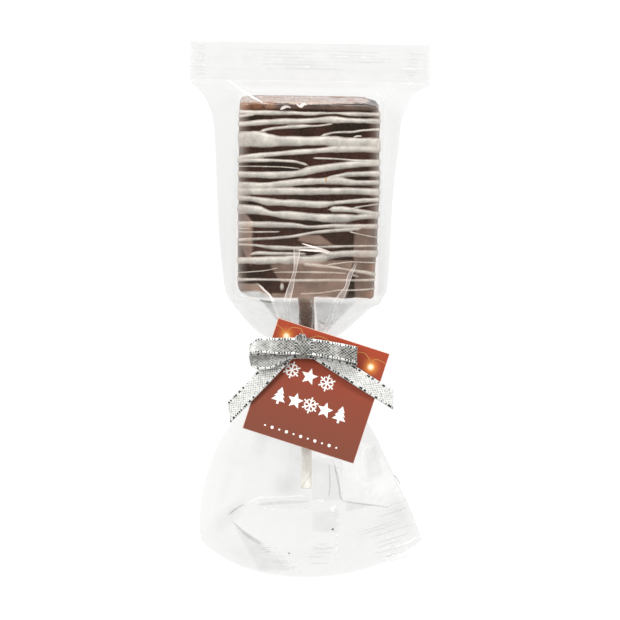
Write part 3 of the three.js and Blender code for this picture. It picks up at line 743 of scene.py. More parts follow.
def ring_ends(rows, cols):
    """Two fans that close a tube of the given rows and columns, round points added after its own."""
    j = np.arange(cols)
    k = (j + 1) % cols
    count = rows * cols
    last = (rows - 1) * cols
    return np.concatenate([coords(j, k, count), coords(last + k, last + j, count + 1)])


def make_stick(material):
    cols = 40
    crush = 0.25
    stations = [(0, 1 - crush / STICK_RADIUS), (0.12, 0.97), (0.35, 1.0)]
    body = [(d, 1.0) for d in np.linspace(1.5, STICK_LENGTH - 1.5, 90)]
    rows = stations + body + [(STICK_LENGTH - d, r) for d, r in reversed(stations)]
    turn = np.linspace(0, 2 * math.pi, cols, endpoint=False)
    along = np.array([d for d, _ in rows])[:, None]
    radius = STICK_RADIUS * np.array([r for _, r in rows])[:, None] * np.ones(cols)
    y = STICK_LENGTH - STICK_SHOWN - along
    points = coords(radius * np.sin(turn), y, radius * np.cos(turn))
    points += 0.03 * rough(points, 6, 2)[..., None] * points / STICK_RADIUS * np.array([1, 0, 1])
    ends = np.array([[0, y[0, 0], 0], [0, y[-1, 0] + crush, 0]])
    flat = np.concatenate([points.reshape(-1, 3), ends])
    roll = turn / (2 * math.pi) + along / PAPER_PITCH
    roll = np.concatenate([roll.ravel(), [0.1, 0.1]])
    faces = [grid_quads(len(rows), cols, True), ring_ends(len(rows), cols)]
    obj = make_mesh("paper_stick", along_stick(flat), faces, {"roll": roll})
    return dress(obj, material, "stick")


def make_collar(material):
    cols, rows = 56, 90
    turn = np.linspace(0, 2 * math.pi, cols, endpoint=False)[None, :]
    along = np.linspace(2.5, -COLLAR_LENGTH, rows)[:, None]
    end_wave = 1.3 * np.sin(turn + 0.6) + 0.7 * np.sin(3 * turn + 1)
    y = along + np.where(along < 0, end_wave * (along / -COLLAR_LENGTH) ** 3, 0)
    grain = coords(np.sin(turn) * 3, y, np.cos(turn) * 3)
    swell = 1 + 0.13 * rough(grain, 5.5, 3)
    root = 1 + 0.3 * ease(1 - np.abs(along + 0.5) / 4.5) - 0.17 * ease(1 + along / 8)
    lip = np.sqrt(np.clip(1 - ((-along - COLLAR_LENGTH + 1.2) / 1.2).clip(0, 1) ** 2, 0, 1))
    radius = mix(STICK_RADIUS + 0.02, COLLAR_RADIUS * swell * root, lip)
    lean = -0.35 * ease(1 + along / 8)
    points = coords(radius * np.sin(turn) + lean, y, radius * np.cos(turn))
    faces = grid_quads(rows, cols, True)
    scuff = 0.7 * ease(1.6 * rough(grain + 7, 3.5, 3))
    obj = make_mesh("stick_chocolate", along_stick(points), faces, {"scuff": scuff})
    return dress(obj, material, "crispy_bar")


# The bag's outline and section by place along Y, and its skirt's by radius, close to the solid's
BAG_LEFT = [
    (BAG_TOP_Y, 45.7), (HEADER_FOOT_Y, 45.7), (83, 42), (79.4, 39.4), (72, 36.8), (65, 36), (41, 34.6),
    (26, 33.6), (14, 32.2), (8, 31.4), (4.8, 30.4), (-0.4, 26.6), (-4.8, 22.8), (-8, 19.6), (-10.4, 16.4),
    (-12.6, 10), (-14.4, NECK_RADIUS),
]
BAG_RIGHT = [
    (BAG_TOP_Y, 45.3), (HEADER_FOOT_Y, 45), (83, 39.6), (79.4, 37.4), (72, 34.6), (65, 34), (41, 31.9),
    (26, 31.4), (11, 30.8), (7, 30.2), (3.4, 27), (-0.4, 22.9), (-4.2, 18.9), (-8, 14.8), (-11, 10.6),
    (-13, 7.5), (-14.4, NECK_RADIUS),
]
BAG_FRONT = [
    (BAG_TOP_Y, SEAM_Z + 0.3), (HEADER_FOOT_Y, SEAM_Z + 0.3), (84.2, 21), (FLAT_TOP_Y, BAG_FRONT_Z),
    (FLAT_FOOT_Y, BAG_FRONT_Z), (2, 25.6), (-3, 21.9), (-8, 19.7), (-12, 18.7), (-14.4, SEAM_Z + NECK_RADIUS),
]
BAG_BACK = [
    (BAG_TOP_Y, SEAM_Z - 0.3), (HEADER_FOOT_Y, SEAM_Z - 0.3), (84.2, 6.5), (FLAT_TOP_Y, 0),
    (FLAT_FOOT_Y, 0), (2, 1), (-3, 3.2), (-8, 5.6), (-12, 7.8), (-14.4, SEAM_Z - NECK_RADIUS),
]
BAG_FLAT = [
    (BAG_TOP_Y, 44.5), (HEADER_FOOT_Y, 44), (84.2, 31), (FLAT_TOP_Y, 28.4), (FLAT_FOOT_Y, 28), (0, 18),
    (-6, 6), (-14.4, 0),
]
BAG_ROUNDNESS = [
    (BAG_TOP_Y, 0), (HEADER_FOOT_Y, 0), (FLAT_TOP_Y, 0.25), (FLAT_FOOT_Y, 0.25), (-6, 0.6), (-14.4, 1),
]
SKIRT_LEFT = [
    (6, 60), (12, 52), (22, 48), (34, 45.5), (48, 42.8), (61, 38.6), (73, 34.3), (84, 30.1), (89.5, 27.6),
]
SKIRT_RIGHT = [
    (6, 60), (12, 50), (22, 45), (34, 42), (43, 40), (50, 38), (63, 35.4), (76, 33.9), (89.5, 32),
]
SKIRT_CROWN = [
    (6, 17.9), (20, 19), (38, 19.6), (50, 17.6), (62, 13.4), (73, 8.8), (84, 4.4), (90, 2.2),
]
SKIRT_EDGE = [(6, 13), (20, 9.5), (40, 5.6), (62, 3.2), (90, 1.2)]
SKIRT_BELLY = [(6, 9.3), (14, 6), (24, 3.2), (36, 1), (50, 0.3), (90, 0.3)]
NECK_SLOPE_SHARE = 0.35
FLOOR_GAP = 0.03
# Columns of each sheet: down either slope, and across the flat between them
SLOPE_STEPS = 16
FLAT_STEPS = 92
SHEET_COLUMNS = 2 * SLOPE_STEPS + FLAT_STEPS + 1


def bag_columns():
    """Side, share of the way down the slope, and share of the flat, from the left crease to the right."""
    i = np.arange(SHEET_COLUMNS)
    across = (i - SLOPE_STEPS) / FLAT_STEPS * 2 - 1
    side = np.where(i <= SLOPE_STEPS, -1, np.where(i >= SLOPE_STEPS + FLAT_STEPS, 1, np.sign(across)))
    slope = np.maximum(1 - i / SLOPE_STEPS, (i - SLOPE_STEPS - FLAT_STEPS) / SLOPE_STEPS)
    return side, np.clip(slope, 0, 1), np.clip(np.abs(across), 0, 1)


def bag_body(y, heights):
    side, slope, flat = (v[None, :] for v in bag_columns())
    y = np.asarray(y, float)[:, None]
    half_width = np.where(side < 0, curve_at(BAG_LEFT, y), curve_at(BAG_RIGHT, y))
    flat_width = np.maximum(np.minimum(line_at(BAG_FLAT, y), half_width - 0.4), 0)
    roundness = line_at(BAG_ROUNDNESS, y)
    fall = mix(1 - slope, np.sqrt(1 - slope * slope), roundness)
    neck = np.maximum(roundness - 0.5, 0) * 2
    reach = flat_width * flat + (half_width - flat_width) * slope
    angle = ((1 - slope) * NECK_SLOPE_SHARE + (1 - flat) * (1 - NECK_SLOPE_SHARE)) * math.pi / 2
    x = side * mix(reach, half_width * np.cos(angle), neck)
    height = mix(fall, np.sin(angle), neck)
    z = SEAM_Z + (line_at(heights, y) - SEAM_Z) * height
    return coords(x, y, z)


def bag_skirt(radius, heights, front):
    across = np.linspace(-1, 1, SHEET_COLUMNS)[None, :]
    radius = np.asarray(radius, float)[:, None]
    opening = np.where(across < 0, curve_at(SKIRT_LEFT, radius), curve_at(SKIRT_RIGHT, radius))
    angle = np.radians(across * opening)
    rise = np.where(across < 0, HEM_RISE_LEFT, HEM_RISE_RIGHT)
    reach = radius - rise * (radius / SKIRT_RADIUS) * np.abs(across) ** 3
    edge = curve_at(SKIRT_EDGE, radius)
    bulge = 1 - np.abs(across) ** 1.4
    z = edge + (curve_at(heights, radius) - edge) * (bulge if front else np.sqrt(bulge))
    return coords(reach * np.sin(angle), NECK_Y - reach * np.cos(angle), z)


def patch(points, corners, softness):
    """How far inside a convex outline in the XY plane each point lies, 0 to 1 with a soft edge."""
    corners = np.array(corners, float)
    middle = corners.mean(axis=0)
    inside = np.full(points.shape[:-1], 1e9)
    for start, end in zip(corners, np.roll(corners, -1, axis=0)):
        edge = end - start
        outward = np.array([edge[1], -edge[0]]) / np.hypot(*edge)
        if (middle - start) @ outward > 0:
            outward = -outward
        inside = np.minimum(inside, (start - points[..., :2]) @ outward)
    return ease(inside / softness + 0.5)


def blot(points, x, y, long, short, turn):
    """A soft oval in the XY plane, 1 in its middle."""
    turn = math.radians(turn)
    dx, dy = points[..., 0] - x, points[..., 1] - y
    u = (dx * math.cos(turn) + dy * math.sin(turn)) / long
    v = (dy * math.cos(turn) - dx * math.sin(turn)) / short
    return np.exp(-(u * u + v * v))


# The bar's outline under the film
BAR_CORNERS = [
    (-22, BAR_FOOT_Y), (27, BAR_FOOT_Y), (27, BAR_TOP_Y - 1), (-27, BAR_TOP_Y - 1), (-27, BAR_FOOT_Y + 4.5),
]
# Where the front sheet looks milky, partly the film's own haze and partly painted reflection: corners (x, y),
# softness of the edge, amount
MILKY_PATCHES = [
    ([(-17, 79), (24, 79.8), (24, 77.7), (-17, 77.4)], 0.5, 0.1),
    ([(12.5, 79), (14.5, 77.4), (27, 77.4), (27, 79.9), (22, 79.9)], 0.6, 0.08),
    ([(-29, 41), (-25.5, 40), (-20.9, 34.6), (-20.8, 23.9), (-21.4, 18.2), (-18.7, 13.2), (-17, 11.1),
      (-29, 11)], 0.6, 0.24),
    ([(-14.1, 18.4), (-11, 13.3), (-10.2, 12), (-6.4, 12), (-4.6, 18.5), (-8.4, 19.4)], 0.6, 0.16),
    ([(-3.7, 27.7), (-3, 29.6), (0.1, 29.9), (4.2, 30.1), (7.4, 28.1), (9.8, 26.2), (4, 26.2)], 0.5, 0.2),
    ([(17, 34), (29, 34), (29, 5), (14.8, 5), (17.3, 27.3)], 0.6, 0.16),
    ([(-5.1, 20.3), (17.3, 20.5), (14.8, 5), (-7.1, 5)], 0.6, 0.21),
    ([(8.7, 11.9), (14.3, 12), (13.6, 8.2), (8.4, 8.2)], 0.5, 0.1),
    ([(-13.4, 7.6), (2, 7.8), (2, 5), (-12.4, 5)], 0.6, 0.22),
    ([(-29, 11), (-18.9, 11.1), (-17, 9.6), (-13.1, 6.2), (-13.1, 4.4), (-29, 4.4)], 0.6, 0.3),
]
# Painted shade on the film over the cone, a grey veil: corners (x, y), softness, amount, tone from grey 0 to
# white 1
CONE_PATCHES = [
    ([(-17.5, 5.2), (23, 5.2), (17.2, 0.4), (10.8, -4.3), (6, -10), (-4, -12), (-11, -3), (-14.5, 0.5)],
     1, 0.34, 0.1),
    ([(1.6, 6), (10.3, 6), (9.3, -3.2), (4.5, -6.3)], 0.6, 0.14, 0),
    ([(-17.4, 4.8), (-13, 4.8), (-10.5, -3), (-11.6, -3)], 0.5, 0.16, 0.1),
    ([(11.9, 6), (18.7, 6), (14.2, 1.5), (12, -0.1)], 0.6, 0.1, 0),
    ([(-5.6, 5), (-2.8, 5.7), (-3, -3.2), (-7, -2)], 0.6, 0.16, 0),
    ([(-27.5, 7.4), (-22, 8.2), (-18.3, 8.4), (-15.2, 7.4), (-12.8, 4.4), (-17.2, 4.2), (-25, 5.6)],
     0.7, 0.5, 0.45),
]
# The dark run of chocolate on the stick shows more clearly than what is beside it
COLLAR_CORNERS = [(-3.3, 5.6), (3.2, 5.6), (4, -3), (4.6, -10), (-1.4, -10), (-2.4, -2)]
# Where the skirt is painted grey as shade of its folds: corners (x, y), softness, amount
SKIRT_PATCHES = [
    ([(-27.4, -84.1), (-20.3, -90.2), (-9.3, -96.2), (-4.9, -100.5), (-5.5, -103.6), (-16.5, -103.8),
      (-20.2, -97.6), (-23.4, -91.5)], 2.2, 0.17),
    ([(-16.9, -74.4), (2.5, -71.8), (2.6, -76.8), (-7.1, -78.2), (-17.5, -77.8)], 0.8, 0.04),
    ([(3.1, -57), (14, -57), (14.6, -74.3), (3.3, -73.5)], 1.2, 0.09),
    ([(23.4, -55.1), (27.3, -53.7), (30.2, -64.4), (25, -67.1)], 2, 0.15),
    ([(16.5, -74.3), (27.8, -76.8), (16.6, -78.8)], 0.7, 0.14),
    ([(3.7, -78.9), (13.3, -78), (13.8, -87.4), (3.9, -86.9)], 0.9, 0.09),
]
# Painted shade of soft folds in the skirt: middle (x, y), half length, half width, turn in degrees, amount
SKIRT_SHADES = [
    (-6.1, -67.7, 5, 3.6, 20, 0.2), (-3, -60, 9, 4, 85, 0.14), (-28, -81.5, 7, 2.6, 50, 0.14),
    (-24, -97, 9, 4, -30, 0.06), (34, -84, 10, 5, 20, 0.05), (0, -97, 14, 4, 5, 0.03),
    (-14, -45, 12, 3, 70, 0.12), (14, -45, 12, 3, 110, 0.12), (-30, -70, 12, 2, 75, 0.05),
    (38, -80, 8, 2, 115, 0.07),
]
# Where the skirt is quite clear: corners (x, y) and softness
CLEAR_PATCHES = [
    ([(-37.2, -60), (-23.8, -62), (-23.6, -74.2), (-29.7, -79.2), (-36.3, -84.3), (-41, -83.1)], 3),
    ([(14.6, -57), (23.8, -54), (20.8, -73.2), (15.2, -73.3)], 1),
    ([(27, -66), (32, -68), (33, -73), (27, -73)], 3),
    ([(-1.1, -48), (3.1, -48), (3.4, -69.4), (-0.8, -69.4)], 0.3),
]


def both_sheets(front, back):
    """The front sheet's columns and then the back one's, without the two sides that they share."""
    return np.concatenate([front, back[:, -2:0:-1]], axis=1)


def make_film(material):
    body_y = np.concatenate([
        np.linspace(BAG_TOP_Y, FLAT_TOP_Y, 50),
        np.linspace(FLAT_TOP_Y - 0.5, FLAT_FOOT_Y, 132),
        np.linspace(FLAT_FOOT_Y - 0.5, NECK_END_Y, 60),
    ])
    skirt_r = np.linspace(SKIRT_START, SKIRT_RADIUS, 150)
    rng = np.random.default_rng(7)
    front = np.concatenate([bag_body(body_y, BAG_FRONT), bag_skirt(skirt_r, SKIRT_CROWN, True)])
    back = np.concatenate([bag_body(body_y, BAG_BACK), bag_skirt(skirt_r, SKIRT_BELLY, False)])
    rows, cols = front.shape[:2]
    across = np.linspace(-1, 1, cols)[None, :]
    down = np.concatenate([body_y, NECK_Y - skirt_r])[:, None]
    inside = 1 - np.abs(across) ** 4

    # Weights of the cone over the neck and of the skirt below it
    cone = ease((4 - down) / 16) * (down > NECK_END_Y)
    cone_haze = ease((9 - down) / 5) * (down > NECK_END_Y)
    skirt = np.where(down < NECK_END_Y, 1.0, 0.0)
    radius = np.clip(NECK_Y - down, 0, SKIRT_RADIUS)
    on_bar = [patch(sheet, BAR_CORNERS, 1.2) for sheet in (front, back)]
    haze_and_painted_light = [0.02 - 0.014 * on_bar[0], 0.02 - 0.014 * on_bar[1]]

    # Pleats run out of the tied neck, up into the cone and down into the skirt
    for n, (sheet, way) in enumerate(((front, 1), (back, -1))):
        lift = 0
        for _ in range(30):
            at, width = rng.uniform(-0.95, 0.95), rng.uniform(0.015, 0.06)
            tall, length = rng.uniform(0.4, 1.5), rng.uniform(14, 70)
            ridge = np.exp(-np.abs(across - at) / width)
            fade = ease(1 - radius / length) * ease(radius / 7) * skirt
            near_neck = 0.5 * cone * ease(1 - np.abs(down + 13) / 5)
            lift = lift + ridge * tall * (fade + near_neck)
            haze_and_painted_light[n] += 0.1 * ridge * (fade + near_neck)
        soft = rough_at(across * 22, down * 0.5, 0, 9, 2)
        away = np.where(down < FLAT_FOOT_Y, 1.0, 0.12) * inside
        lift = lift + 0.7 * soft * away * ease((SKIRT_RADIUS - radius) / 20)
        limit = np.where(radius > 0, 1.0, 0.6)
        sheet[..., 2] += way * lift * limit * inside

    # The header's crimp, and the slanted creases on the right of the hem
    crimp = ease((down - HEADER_FOOT_Y) / 1.5) * ease((BAG_TOP_Y - 1.5 - down) / 1.5)
    ridges = 0.12 * np.sin(2 * math.pi * down / 1.35 + 0.3 * across) * crimp
    hem = ease((radius - 60) / 8) * skirt * ease(SKIRT_RADIUS - 0.4 - radius) * ease((across + 0.1) / 0.5)
    slant = down - 0.34 * front[..., 0]
    ridges = ridges + 0.16 * np.sin(slant * 2.1) * hem
    front[..., 2] += ridges
    back[..., 2] += ridges

    # How milky the sheets look: the film's own haze, painted reflections over the bar and its rounded sides,
    # and painted light lines along the header's crimp
    x = front[..., 0]
    streaks = np.maximum(rough_at(across * 60, down * 0.12, 0, 5), 0)
    haze_and_painted_light[0] += 0.02 * hem + 0.1 * ease(1 - radius / 22) * skirt + (0.07 + 0.05 * streaks) * cone_haze
    haze_and_painted_light[1] += 0.02 * hem + 0.06 * ease(1 - radius / 22) * skirt + 0.05 * cone_haze
    haze_and_painted_light[0] += (0.045 + 0.04 * streaks) * skirt
    haze_and_painted_light[0] += 0.03 * crimp * np.maximum(np.sin(2 * math.pi * down / 4.1), 0)
    over_bar = np.where((down > 3) & (down < 82), 1.0, ease((down + 6) / 9) * (down < 82))
    for corners, softness, amount in MILKY_PATCHES:
        haze_and_painted_light[0] = np.maximum(haze_and_painted_light[0], amount * patch(front, corners, softness) * over_bar)
    bar_sides = ease((np.abs(x) - 21.5) / 5.5) * on_bar[0]
    haze_and_painted_light[0] = np.maximum(haze_and_painted_light[0], 0.22 * bar_sides)
    header = ease((down - 83) / 3)
    haze_and_painted_light[0] += 0.108 * header * (0.9 + 0.2 * streaks)

    # Painted shade: the clear film is tinted grey beside the bar, most of all close to its sides
    left_side, right_side = ease((-26 - x) / 2), ease((x - 26) / 2)
    above_foot = ease((down - 6) / 3)
    near_right = ease((x - 25.5) / 2) * ease((32 - x) / 5) * above_foot * ease((64 - down) / 55)
    near_left = ease((-25.6 - x) / 1.2) * ease((x + 31) / 5) * above_foot * ease((70 - down) / 15)
    painted_side_shade = (0.08 * left_side + 0.04 * right_side) * (1 - header)
    painted_side_shade = painted_side_shade + 0.05 * left_side * ease((55 - down) / 30)
    painted_side_shade = painted_side_shade * ease((down - 4) / 4) + 0.27 * near_right + 0.12 * near_left

    # Patches, and the veil's tone from grey, for painted shade, to white and to the chocolate's brown
    haze_and_painted_light[0] += 0.012 * on_bar[0] * ease((40 - down) / 15)
    tone = 0.5 - 0.34 * header
    for corners, softness in CLEAR_PATCHES:
        haze_and_painted_light[0] *= 1 - 0.9 * patch(front, corners, softness) * skirt
    covered = 0
    for corners, softness, amount, shade in CONE_PATCHES:
        grey = patch(front, corners, softness)
        haze_and_painted_light[0] += amount * grey
        tone = mix(tone, shade, grey)
        covered = np.maximum(covered, grey)
    tone = np.maximum(tone, 0.9 * bar_sides)
    warm = 0.9 * on_bar[0] * (1 - 0.7 * bar_sides) * (1 - covered)
    haze_and_painted_light[0] *= 1 - 0.72 * patch(front, COLLAR_CORNERS, 0.5)
    haze_and_painted_light[0] += 0.12 * blot(front, 0.2, 3.5, 3.4, 4, 0)
    warm = np.maximum(warm, 0.9 * patch(front, COLLAR_CORNERS, 1))

    # Painted shade of the skirt's folds, as a grey veil
    shades = [(blot(front, *place), amount) for *place, amount in SKIRT_SHADES]
    shades += [(patch(front, corners, softness), amount) for corners, softness, amount in SKIRT_PATCHES]
    for grey, amount in shades:
        haze_and_painted_light[0] += amount * grey * skirt
        tone = np.maximum(tone - 6 * amount * grey * skirt, 0.2)

    # The back sheet stays over the floor and the front one over it, and both join at their sides
    back[..., 2] = np.maximum(back[..., 2], FLOOR_GAP)
    front[..., 2] = np.maximum(front[..., 2], back[..., 2] + 0.05 * inside)
    ring = both_sheets(front, back)
    values = {
        "haze_and_painted_light": both_sheets(*haze_and_painted_light), "tone": both_sheets(tone, tone),
        "warm": both_sheets(warm, 0 * warm), "painted_side_shade": both_sheets(painted_side_shade, 0 * painted_side_shade),
    }
    faces = grid_quads(rows, ring.shape[1], True)
    obj = make_mesh("film_bag_sheets", ring, faces, values)
    return dress(obj, material, "film_bag")


# Folds pressed into the film, drawn as veiled strips that carry painted light: the white ones are painted
# highlights and glints, the grey ones painted shade. Each has a path (x, y, width), veil, how much of it is
# in the rims, and tone from 0 for grey to 1 for white
FILM_FOLDS = [
    ([(-32.1, 87.2, 0.3), (-26, 84, 0.5), (-21, 81.3, 0.5), (-17, 79.3, 0.5)], 0.95, 0, 1),
    ([(23.5, 83.5, 0.3), (26.9, 82.7, 0.4), (27.2, 80.4, 0.4), (24.7, 78.1, 0.3)], 0.6, 0, 0.6),
    # Painted glints on the bar's rounded top edge, and a third one lower on its face
    ([(-11.3, 77, 0.4), (-9.8, 78, 1.3), (-8.6, 78.3, 0.9), (-7, 77.8, 0.3)], 0.8, 0, 1),
    ([(-5.2, 79.8, 0.4), (-4.1, 78.6, 1), (-3.4, 78.6, 1.6), (-2.4, 79.4, 1.2), (-1, 79, 0.3)], 0.95, 0, 1),
    ([(16.4, 67.2, 0.3), (18, 67.7, 0.6), (19.8, 67.7, 0.3)], 0.8, 0, 1),
    ([(-2.8, 26.9, 0.35), (1.6, 25.7, 0.6), (6.2, 24.4, 0.7), (9.6, 23.2, 0.5)], 1, 0, 1),
    ([(-4.6, 24.3, 0.4), (0.2, 24.2, 0.7), (4.7, 24.1, 1), (9.6, 23, 0.6)], 1, 0, 1),
    ([(-1.5, 25.6, 0.3), (4, 24.8, 0.4), (8.5, 23.4, 0.3)], 0.6, 0, 1),
    ([(-4.4, 27, 0.8), (-4, 24.2, 2.4), (-4.3, 19.7, 1.6), (-4.6, 16.6, 1.2), (-5.3, 13.6, 1.4),
      (-5.9, 10.9, 2), (-6.7, 7.9, 2.4), (-7.6, 3, 2.6), (-7, -2, 3), (-4.5, -9.5, 2)], 0.24, 0.8, 0.9),
    ([(18.8, 21.8, 0.5), (17.6, 17.8, 1), (16, 14.7, 1.7), (15.1, 10.9, 1.3), (12.9, 6.7, 2.6),
      (10.7, 2, 3.2), (9.4, -3, 3), (5.5, -10, 2)], 0.24, 0.8, 0.9),
    ([(-19.8, 11.8, 0.4), (-17.8, 10.5, 0.7), (-15.9, 8.6, 0.8), (-13.9, 6.7, 0.9), (-12.4, 3.5, 1.6),
      (-10.8, -1.8, 1.6), (-6, -10, 1)], 0.85, 0, 1),
    ([(-26.5, 7, 0.5), (-21.5, 5.9, 0.6), (-16.4, 5, 0.7)], 0.6, 0, 1),
    ([(-18.2, 5.3, 0.4), (-15.6, 4.5, 0.9), (-12.9, 4.3, 0.6)], 0.8, 0, 0),
    ([(16.5, 15.2, 0.4), (18, 14.9, 0.9), (19.8, 14.4, 0.4)], 0.7, 0, 0),
    ([(1.5, 6, 0.8), (2.5, 0, 0.7), (2, -9, 0.6)], 0.25, 0.2, 0.9),
    # A painted shade line and a painted glint on the film over the cone
    ([(4.4, -3, 0.4), (6, -4.2, 0.6), (7.6, -5, 0.5)], 0.5, 0, 0),
    ([(5.2, -4.6, 0.4), (6.6, -5.9, 0.9), (8.3, -6.6, 1), (9.9, -6.2, 0.5)], 1, 0, 1),
    ([(-29, -82, 0.5), (-26, -79.2, 0.8), (-22.7, -76.9, 0.5)], 0.35, 0, 0),
    ([(-23, -77.7, 0.3), (-16.9, -73.9, 0.7), (-8.4, -72.8, 0.6), (2.5, -71.3, 0.4)], 1, 0, 1),
    ([(-18, -76.8, 0.8), (-8, -75, 1.4), (2.5, -74, 0.8)], 0.12, 0, 0),
    ([(-17.5, -77.6, 0.4), (-7.1, -78.2, 0.6), (2.6, -76.8, 0.4)], 0.7, 0, 1),
    ([(-27.4, -84.1, 0.5), (-24, -87.5, 1.1), (-20, -90.5, 1.8), (-15, -93.5, 1.6)], 0.3, 0, 0),
    ([(9.6, -58, 0.5), (10.1, -68.1, 0.6), (9.6, -73.4, 0.4)], 0.3, 0, 0),
    ([(11.3, -58, 0.5), (13.4, -67.3, 0.7), (14.5, -73.3, 0.7), (16.2, -75, 0.4)], 0.4, 0, 0),
    ([(12.3, -58, 0.6), (14.2, -66, 0.7), (15, -72, 0.5)], 0.9, 0, 1),
    ([(12.9, -75.9, 0.8), (11, -77.4, 1), (12.3, -78.9, 0.8)], 1, 0, 1),
    ([(5.3, -72.7, 0.4), (6.6, -74.5, 0.6), (7.9, -72.9, 0.4)], 0.9, 0, 1),
    ([(14.9, -74.5, 0.4), (21.8, -76, 0.5), (27.8, -77, 0.6), (33.1, -78, 0.4)], 0.35, 0, 0),
    ([(13.5, -79.4, 0.4), (13.4, -88.8, 0.6), (13, -99.5, 0.5)], 0.6, 0, 1),
    ([(35.4, -94.3, 0.5), (41, -92, 0.8), (46, -89.3, 0.5)], 1, 0, 1),
    ([(30, -99, 0.4), (37, -96.6, 0.6), (42, -94, 0.4)], 0.9, 0, 1),
    ([(34.5, -65.5, 0.4), (35.8, -66.7, 0.6), (37.5, -69.5, 0.4)], 0.4, 0, 0),
]
# How far the folds lie over the film
FOLD_LIFT = 0.08
# Rows of fine creases, two to a step: first one's ends (x, y), step, number of steps, veil
CREASE_ROWS = [
    ((-19.2, -93.6), (-10, -94.4), (1.3, -1.1), 9, 0.3),
    ((20.6, -87.5), (41, -81), (0.8, -2.1), 8, 0.3),
    ((2.2, -92.4), (12.5, -92.2), (-0.3, -1.9), 5, 0.25),
    ((26, -79.5), (41, -74.5), (0.8, -1.6), 3, 0.2),
    ((-44.5, 99.8), (-38.5, 99.8), (0, -1.5), 8, 0.13),
    ((36.5, 98), (44, 97.8), (-0.5, -1.6), 6, 0.13),
    ((-24, 98.5), (8, 98.3), (1.2, -1.3), 6, 0.08),
    ((4, 98.3), (32, 98), (0.5, -1.5), 3, 0.08),
]


# Loose crumbs in the bag: middle (x, y, z) and radius
CRUMBS = [(11.6, -87.5, 1.2, 0.42), (-5.2, -97.3, 1.0, 0.3)]


def crease_lines():
    """The folds, and the rows of fine creases as short folds of uneven length, in painted highlight and
    painted shade in turn.
    """
    rng = np.random.default_rng(11)
    lines = list(FILM_FOLDS)
    for start, end, step, count, veil in CREASE_ROWS:
        for n in range(2 * count):
            shift = np.array(step) * (n / 2 + rng.uniform(-0.2, 0.2))
            a, b = rng.uniform((0, 0.6), (0.35, 1))
            first, last = (mix(np.array(start), np.array(end), share) + shift for share in (a, b))
            middle = (first + last) / 2 + np.array([0, rng.uniform(-0.4, 0.1)])
            width = rng.uniform(0.35, 0.8)
            path = [(*first, 0.6 * width), (*middle, width), (*last, 0.6 * width)]
            white = float(n % 2)
            lines.append((path, veil * rng.uniform(0.5, 1) * (0.55 + 0.45 * white), 0, white))
    return lines


def make_folds(film, material):
    bpy.context.view_layer.update()
    tree = BVHTree.FromObject(film, bpy.context.evaluated_depsgraph_get())
    share = np.array([-1, -0.8, -0.5, 0, 0.5, 0.8, 1])
    strips, haze_and_painted_light, tones = [], [], []
    for path, veil, rim, tone in crease_lines():
        path = np.array(path, float)
        run = run_along(path[:, :2])
        steps = max(int(run[-1] / 0.5), 8)
        at = np.linspace(0, run[-1], steps)
        line = path_at(run, path, at)
        width = curve_at(list(zip(run, path[:, 2])), at) / 2
        way = unit(np.gradient(line, axis=0))
        side = coords(-way[:, 1], way[:, 0])
        flat = line[:, None] + side[:, None] * (width[:, None] * share)[..., None]
        points = []
        for x, y in flat.reshape(-1, 2):
            above = Vector(np.array([x, y, 60]) + MIDDLE_SHIFT) * MM
            hit = tree.ray_cast(above, Vector((0, 0, -1)))[0]
            points.append((x, y, (hit.z / MM if hit else 1.0) + FOLD_LIFT))
        ends = ease(np.minimum(at, run[-1] - at) / (0.15 * run[-1]))
        across = veil + rim * np.abs(share) ** 6 if rim else veil * (1 - 0.5 * share ** 2)
        haze_and_painted_light.append((ends[:, None] * across[None, :]).ravel())
        tones.append(np.full(len(points), tone))
        strips.append((np.array(points), grid_quads(*flat.shape[:2])[:, ::-1]))
    points, faces = join(strips)
    warm = 0.35 * patch(points, BAR_CORNERS, 1)
    values = {"haze_and_painted_light": np.concatenate(haze_and_painted_light), "tone": np.concatenate(tones), "warm": warm}
    obj = make_mesh("film_folds", points, faces, values)
    return dress(obj, material, "film_bag")


def make_crumbs(material):
    """Crumbs that lie loose between the sheets."""
    rng = np.random.default_rng(5)
    rows, cols = 7, 10
    tilts = np.linspace(0.01, math.pi - 0.01, rows)
    turns = np.arange(cols) * 2 * math.pi / cols
    tilt, turn = np.meshgrid(tilts, turns, indexing="ij")
    ball = coords(np.sin(tilt) * np.cos(turn), np.sin(tilt) * np.sin(turn), np.cos(tilt))
    balls = []
    for x, y, z, radius in CRUMBS:
        uneven = 1 + 0.35 * rough(ball * 3 + rng.uniform(0, 50, 3), 2, 2)
        points = (np.array([x, y, z]) + ball * uneven[..., None] * radius).reshape(-1, 3)
        balls.append((points, grid_quads(rows, cols, True)[:, ::-1]))
    obj = make_mesh("crumbs", *join(balls))
    return dress(obj, material, "film_bag")


